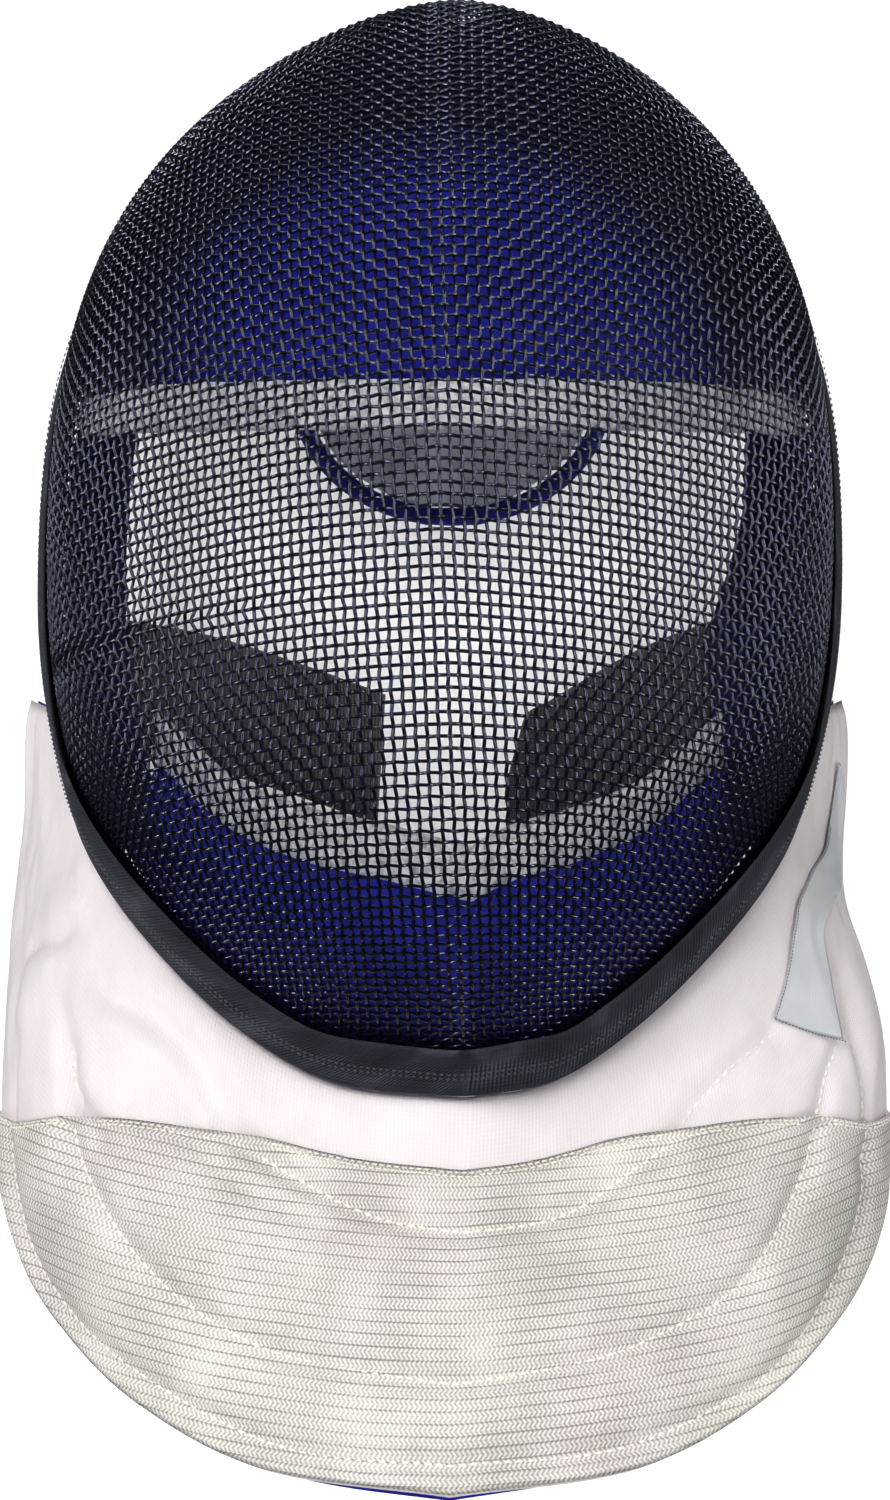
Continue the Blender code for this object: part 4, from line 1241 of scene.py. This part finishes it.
def chinPad():
    clear = form["wall"] / 2 + 2 * trim["gap"] + trim["thickness"] + pads["chin"] / 2
    columns, rows = 80, 24
    grid = [[] for row in range(rows + 1)]
    for column in range(columns + 1):
        across = (2 * column / columns - 1) * pads["chinReach"]
        place, side = abs(across) * pads["chinSpread"], 1 if across >= 0 else -1
        edge = edgeAt(place, side)
        inward = (edge - bibStart(place, side)).normalized()
        normal = outward(edge + inward * 0.004)[1]
        low = edge + inward * 0.0010 - normal * clear
        high = chinEdge(across)
        for row in range(rows + 1):
            share = row / rows
            grid[row].append(low.lerp(high, share) + Vector((0.0, -0.006 * math.sin(math.pi * share), 0.0)))
    grid = smoothed(grid, 2)

    def relief(r, c):
        return noise.noise(grid[r][c] * 50.0) * 0.0008 - 0.0006 - 0.0007 * math.exp(-((r - 21) / 1.2) ** 2)

    def front(r, c):  # the pad presses towards the mesh above the trim's inner lip
        return 0.0008 + 0.0026 * math.exp(-((r - 5) / 2.4) ** 2)
    blue = liningCloth("#23269c", "#1a1d7c", "#3034bc")
    made = sheetMesh("chin_pad_cover", grid, pads["chin"], blue, relief, front)
    settlePadded(made, "dark_blue_lining", "chin_pad")
    rows = []
    for row in range(13):
        rise = Vector((0.0, 0.0, mix(-0.0015, pads["chinGap"] + pads["chinBandHeight"], row / 12)))
        rows.append([chinEdge((column / 90 - 1) * pads["chinReach"]) + rise for column in range(181)])
    silver = velour("#dcdcdf", "#9c9da3", "#fbfbfc")
    band = sheetMesh("chin_velour_band", rows, pads["chinBandThickness"] * pads["core"], silver,
                     crinkled(rows, pads["crinkle"] * 1.3, pads["crinkleSize"] * 1.15, 7.0))
    settlePadded(band, "silver_velour", "chin_band")


print("making the pads")
foreheadPad()
for side in (-1, 1):
    sideLining(side)
chinPad()

behind = {
    "width": 0.088, "length": 0.121, "thickness": 0.0045, "round": 0.27, "curve": 0.006, "tuck": 0.0004,
    "bindingDepth": 0.0056, "bindingGap": 0.0010,
    "strapWidth": 0.040, "strapThickness": 0.0018, "strapReach": 0.080, "strapGap": 0.0026, "strapPlace": 0.45,
}

tongueRows = table("place back drop", (
    (0.0, 0.0, 0.0), (0.25, 0.20, 0.17), (0.5, 0.33, 0.40), (0.75, 0.40, 0.66), (1.0, 0.41, 0.93),
))

strapsLeft = table("place inward back drop twist", (
    (0.0, -0.04, 0.0, 0.0, 0.0), (0.3, 0.25, 0.16, 0.05, 0.05), (0.65, 0.58, 0.36, 0.15, 0.10),
    (1.0, 0.915, 0.50, 0.27, 0.10),
))
strapsRight = table("place inward back drop twist", (
    (0.0, -0.04, 0.0, 0.0, 0.0), (0.3, 0.20, 0.16, 0.09, 0.05), (0.65, 0.47, 0.34, 0.24, 0.10),
    (1.0, 0.74, 0.46, 0.41, 0.10),
))


def tonguePoint(across, down):
    stem = 1 - behind["round"]
    route = lookUp(tongueRows, down)
    half = behind["width"] / 2
    if down > stem:
        half *= math.sqrt(1 - ((down - stem) / behind["round"]) ** 2 * 0.97)
    crown = edgeAt(1.0, 1)
    place = 1.0
    while place > 0.7 and edgeAt(place, 1).x < abs(across) * half + crown.x:
        place -= 0.004
    root = edgeAt(place, 1)
    arch = (1 - down) ** 2
    seat = form["wall"] / 2 + trim["gap"] + trim["thickness"] - behind["tuck"] + behind["thickness"] / 2
    return Vector((
        crown.x + across * half,
        mix(crown.y, root.y, arch) + route.back * behind["length"] + behind["curve"] * (1 - across ** 2) * down,
        mix(crown.z, root.z, arch) - seat - route.drop * behind["length"],
    ))


def tongueGrid():
    return [[tonguePoint(column / 4 - 1, 1 - (1 - row / 9) ** 1.6) for column in range(9)] for row in range(10)]


def refined(grid, columns, rows):  # the same form with smooth curves between its points
    wide = [softRoute(row, 6, columns) for row in grid]
    tall = [softRoute([row[c] for row in wide], 6, rows) for c in range(columns + 1)]
    return [[tall[c][r] for c in range(columns + 1)] for r in range(rows + 1)]


def backTongue():
    coarse = tongueGrid()
    grid = refined(coarse, 40, 54)

    def relief(r, c):
        return noise.noise(grid[r][c] * 60.0) * 0.0005 - 0.0004
    grey = brushedCloth("#cfd1d8", "#b4b6bd", "#e4e5ea")
    made = sheetMesh("back_tongue_cover", grid, behind["thickness"], grey, relief, relief)
    settlePadded(made, "grey_cloth", "back_tongue")
    outline = [row[0] for row in coarse[2:]] + coarse[-1][1:-1] + [row[-1] for row in reversed(coarse[2:])]
    middle = sum(outline, Vector()) / len(outline)
    route = []
    for index, point in enumerate(outline):
        along = (outline[min(index + 1, len(outline) - 1)] - outline[max(index - 1, 0)]).normalized()
        out = (point - middle) - along * (point - middle).dot(along)
        route.append(point + out.normalized() * (behind["bindingDepth"] / 2 + behind["bindingGap"]))
    route = softRoute(route, 8, 150)
    blue = liningCloth("#1b1e78", "#141660", "#262a90")
    tape = tubeMesh("tongue_tape", route, behind["bindingDepth"] / 2, 12, blue)
    settle(tape, "blue_binding", "tongue_binding")


def tubeMesh(name, route, radius, sides, finish):  # round binding along a route, its ends closed in a dome
    points, places, faces = [], [], []
    lift = Vector((0.0, 1.0, 0.0))
    marks = [(0, 0.05)] + [(i, 1.0) for i in range(len(route))] + [(len(route) - 1, 0.05)]
    gone = 0.0
    for number, (i, full) in enumerate(marks):
        along = (route[min(i + 1, len(route) - 1)] - route[max(i - 1, 0)]).normalized()
        first = lift.cross(along).normalized()
        second = along.cross(first)
        if number > 1 and i:
            gone += (route[i] - route[i - 1]).length
        dent = 1 + 0.05 * noise.noise(Vector((gone * 180, 0.0, 4.0)))
        for step in range(sides):
            turn = 2 * math.pi * step / sides
            points.append(route[i] + (first * math.cos(turn) + second * math.sin(turn)) * radius * full * dent)
            places.append((gone, radius * turn))
    for r in range(len(marks) - 1):
        near, far = r * sides, (r + 1) * sides
        for c in range(sides):
            after = (c + 1) % sides
            faces.append((near + c, near + after, far + after, far + c))
    faces.append(tuple(range(sides - 1, -1, -1)))
    faces.append(tuple((len(marks) - 1) * sides + c for c in range(sides)))
    return meshPiece(name, points, faces, places, finish)


def brushedCloth(middle, dark, light):  # brushed polyester over foam, soft grey with a short nap
    made, tree, shader = shade("brushed_cloth_" + middle[1:], middle, 0.9, Specular_IOR_Level=0.1,
                               Sheen_Weight=0.5, Sheen_Roughness=0.5)
    place = add(tree, "ShaderNodeTexCoord").outputs["Object"]
    nap = clouds(tree, place, 900.0, 4.0)
    tone = calc(tree, "MULTIPLY_ADD", nap, 0.5, clouds(tree, place, 60.0, 4.0))
    dye(tree, shader, tone, (0.55, dark), (0.75, middle), (0.95, light))
    rough(tree, shader, nap, 0.5, 0.0004)
    return made


def strapGrid(side):
    rows = strapsRight if side > 0 else strapsLeft
    root = liningPoint(behind["strapPlace"], side, 1.0)
    root.y += pads["side"] / 2 + behind["strapGap"] + behind["strapThickness"] / 2
    grid = []
    for row in range(10):
        strap = lookUp(rows, row / 9)
        middle = root + Vector((-side * strap.inward, strap.back, -strap.drop)) * behind["strapReach"]
        line = []
        for column in range(4):
            up = (column / 1.5 - 1) * behind["strapWidth"] / 2
            line.append(middle + Vector((side * up * -0.06, up * strap.twist, up)))
        grid.append(line)
    if side > 0:
        corner = grid[-1][-1]
        corner += (grid[-2][-1] - corner) * 0.6 - Vector((0.0, 0.0, behind["strapWidth"] * 0.30))
        grid[-1][-2].z -= behind["strapWidth"] * 0.12
    return grid


def rearStrap(side):
    name = "right" if side > 0 else "left"
    grid = refined(strapGrid(side), 22, 64)

    def relief(r, c):
        hem = 0.00035 if r > 58 else 0.0
        wave = noise.noise(Vector((r * 0.05, c * 0.12, side * 3.0))) * 0.0004
        return hem + wave
    made = sheetMesh("webbing_strap_" + name, grid, behind["strapThickness"], strapFinish(name), relief)
    settle(made, "strap_webbing", "rear_strap_" + name)


def strapFinish(name):  # black elastic webbing, ribbed across, its ends dull
    made, tree, shader = shade("black_elastic_" + name, "#121217", 0.75, Sheen_Weight=0.25)
    place, ribs, picks = clothNodes(tree, 0.0016, 0.0012)
    weave = calc(tree, "MULTIPLY_ADD", ribs, 0.4, picks)
    tone = calc(tree, "MULTIPLY_ADD", weave, 0.15, clouds(tree, place, 90.0, 3.0))
    dye(tree, shader, tone, (0.3, "#0b0b0f"), (0.8, "#1d1d24"))
    rough(tree, shader, weave, 0.5, 0.0003)
    return made


print("making the tongue and straps")
backTongue()
for side in (-1, 1):
    rearStrap(side)

label = {"gap": 0.0013, "thickness": 0.0010, "visible": 0.0006}

labelRows = table("place leftAcross leftDown rightAcross rightDown", (
    (0.0, 0.955, 0.60, 0.955, 0.67), (0.15, 0.915, 0.54, 0.935, 0.88), (0.38, 0.760, 0.20, 0.860, 0.78),
    (0.52, 0.640, 0.13, 0.765, 0.44), (0.64, 0.580, 0.145, 0.655, 0.285), (0.80, 0.500, 0.185, 0.583, 0.345),
    (1.0, 0.420, 0.228, 0.520, 0.455),
))


def sideLabel():
    grid = []
    for row in range(25):
        spot = lookUp(labelRows, row / 24)
        grid.append([bibPoint(mix(spot.leftAcross, spot.rightAcross, share),
                              mix(spot.leftDown, spot.rightDown, share)) for share in (0.0, 0.5, 1.0)])
    grid = shifted(grid, bib["wall"] / 2 + label["gap"] + label["thickness"] / 2)
    grid = refined(grid, 30, 80)

    def relief(r, c):
        return noise.noise(Vector((r * 0.06, c * 0.08, 9.0))) * 0.0008
    made = sheetMesh("blank_satin_label", grid, label["visible"], satin(), relief, lambda r, c: -relief(r, c))
    settle(made, "grey_satin", "side_label")
    border = [row[0] for row in grid[18:]] + grid[-1][1:]
    edging = [point + outward(point)[1] * label["visible"] for point in border]
    sew("label_edge_stitches", [edging], threadTree(thread("slate_thread", "#4a5566")), "grey_satin")


def satin():  # smooth woven satin ribbon, pale blue grey, blank, with a soft shine along its length
    made, tree, shader = shade("pale_satin", "#d0d3d8", 0.38, Specular_IOR_Level=0.1, Sheen_Weight=0.3)
    place, ribs, picks = clothNodes(tree, 0.0009, 0.0014)
    tone = calc(tree, "MULTIPLY_ADD", ribs, 0.05, clouds(tree, place, 50.0, 3.0))
    dye(tree, shader, tone, (0.3, "#c6cacf"), (0.7, "#d6d9dd"))
    rough(tree, shader, ribs, 0.12, 0.0001)
    return made


print("making the label")
sideLabel()


def cameraAndLight(floor):
    camera = placed("camera", bpy.data.cameras.new("camera"))
    camera.data.sensor_fit = "VERTICAL"
    camera.data.sensor_height = 36.0
    camera.data.lens = studio["lens"]
    camera.location = studio["camera"]
    camera.rotation_euler = (math.pi / 2, 0.0, 0.0)
    bpy.context.scene.camera = camera
    world = bpy.data.worlds.new("studio")
    world.use_nodes = True
    backdrop = world.node_tree.nodes["Background"].inputs
    backdrop["Color"].default_value = linear("#ffffff")
    backdrop["Strength"].default_value = studio["fill"]
    bpy.context.scene.world = world
    paper = bpy.data.collections.new("paper")
    paper.objects.link(floor)
    for name, size, power, place, aim, seenBy in studio["lamps"]:
        lamp = placed(name, bpy.data.lights.new(name, "AREA" if size else "SPOT"))
        if size:
            lamp.data.shape = "RECTANGLE"
            lamp.data.size, lamp.data.size_y = size
        else:
            lamp.data.spot_size, lamp.data.spot_blend = studio["paperCone"]
            lamp.data.shadow_soft_size = 0.06
        lamp.data.energy = power
        lamp.visible_glossy = seenBy == "gloss"  # small lamps give the wires their glints
        lamp.visible_diffuse = seenBy != "gloss"
        if seenBy == "paper":  # lights the paper alone, so the mask's shadow lies right behind the mask
            lamp.light_linking.receiver_collection = paper
        lamp.location = place
        lamp.rotation_euler = (Vector(aim) - Vector(place)).to_track_quat("-Z", "Y").to_euler()
    bpy.context.scene.view_settings.view_transform = "Standard"


studio = {
    "camera": (0.0015, -1.122, -0.2023), "lens": 94.1,  # level with the middle of the mask, as in the photo
    "fill": 0.10,
    # name, size, watts, place, aim, and whether gloss or cloth sees it
    "lamps": (
        ("key", (0.7, 0.7), 19.5, (-0.65, -1.25, 0.55), (0.0, 0.0, -0.2), "cloth"),
        ("right", (0.5, 0.6), 6.0, (1.0, -1.05, 0.1), (0.0, 0.0, -0.2), "cloth"),
        ("low", (0.6, 0.3), 2.2, (0.0, -1.4, -0.45), (0.0, 0.0, -0.25), "cloth"),
        ("glint", (0.05, 1.5), 22.0, (-0.38, -1.25, 0.15), (0.0, 0.0, -0.2), "gloss"),
        ("second glint", (0.05, 1.5), 19.0, (0.50, -1.15, 0.15), (0.0, 0.0, -0.2), "gloss"),
        ("top glint", (1.2, 0.08), 7.0, (0.0, -0.95, 0.85), (0.0, 0.0, -0.1), "gloss"),
        ("left rim", (0.10, 1.2), 21.0, (-1.30, 0.10, 0.25), (0.0, 0.0, -0.1), "gloss"),
        ("right rim", (0.10, 1.2), 19.0, (1.30, 0.10, 0.25), (0.0, 0.0, -0.1), "gloss"),
        ("crown rim", (1.2, 0.10), 8.0, (0.0, 0.30, 1.20), (0.0, 0.0, 0.0), "gloss"),
        ("backdrop", (3.0, 1.2), 2.5, (0.0, 0.9, 2.0), (0.0, 2.3, -0.4), "cloth"),
        ("paper", None, 650.0, (0.0015, -1.30, -0.2023), (0.0015, 2.0, -0.2023), "paper"),
    ),
    "floor": -0.62, "sweepStart": 0.7, "sweepBend": 1.6,
    "paperCone": (math.radians(32), 0.25),
}


def stageFloor():  # pale floor that sweeps up far behind the mask
    start, bend = studio["sweepStart"], studio["sweepBend"]
    profile = [(-4.0, 0.0), (start, 0.0)]
    for step in range(1, 17):
        turn = step / 16 * math.pi / 2
        profile.append((start + bend * math.sin(turn), bend - bend * math.cos(turn)))
    profile.append((start + bend, 4.0))
    points = [(x, y, z + studio["floor"]) for y, z in profile for x in (-4.0, 4.0)]
    faces = [(2 * i, 2 * i + 1, 2 * i + 3, 2 * i + 2) for i in range(len(profile) - 1)]
    mesh = bpy.data.meshes.new("floor")
    mesh.from_pydata(points, [], faces)
    mesh.materials.append(shade("matt_paper", "#fdfdfd", 0.9)[0])
    mesh.shade_smooth()
    floor = placed("floor", mesh)
    floor.visible_glossy = False  # the enamel stays black where it would mirror the paper
    return floor


cameraAndLight(stageFloor())
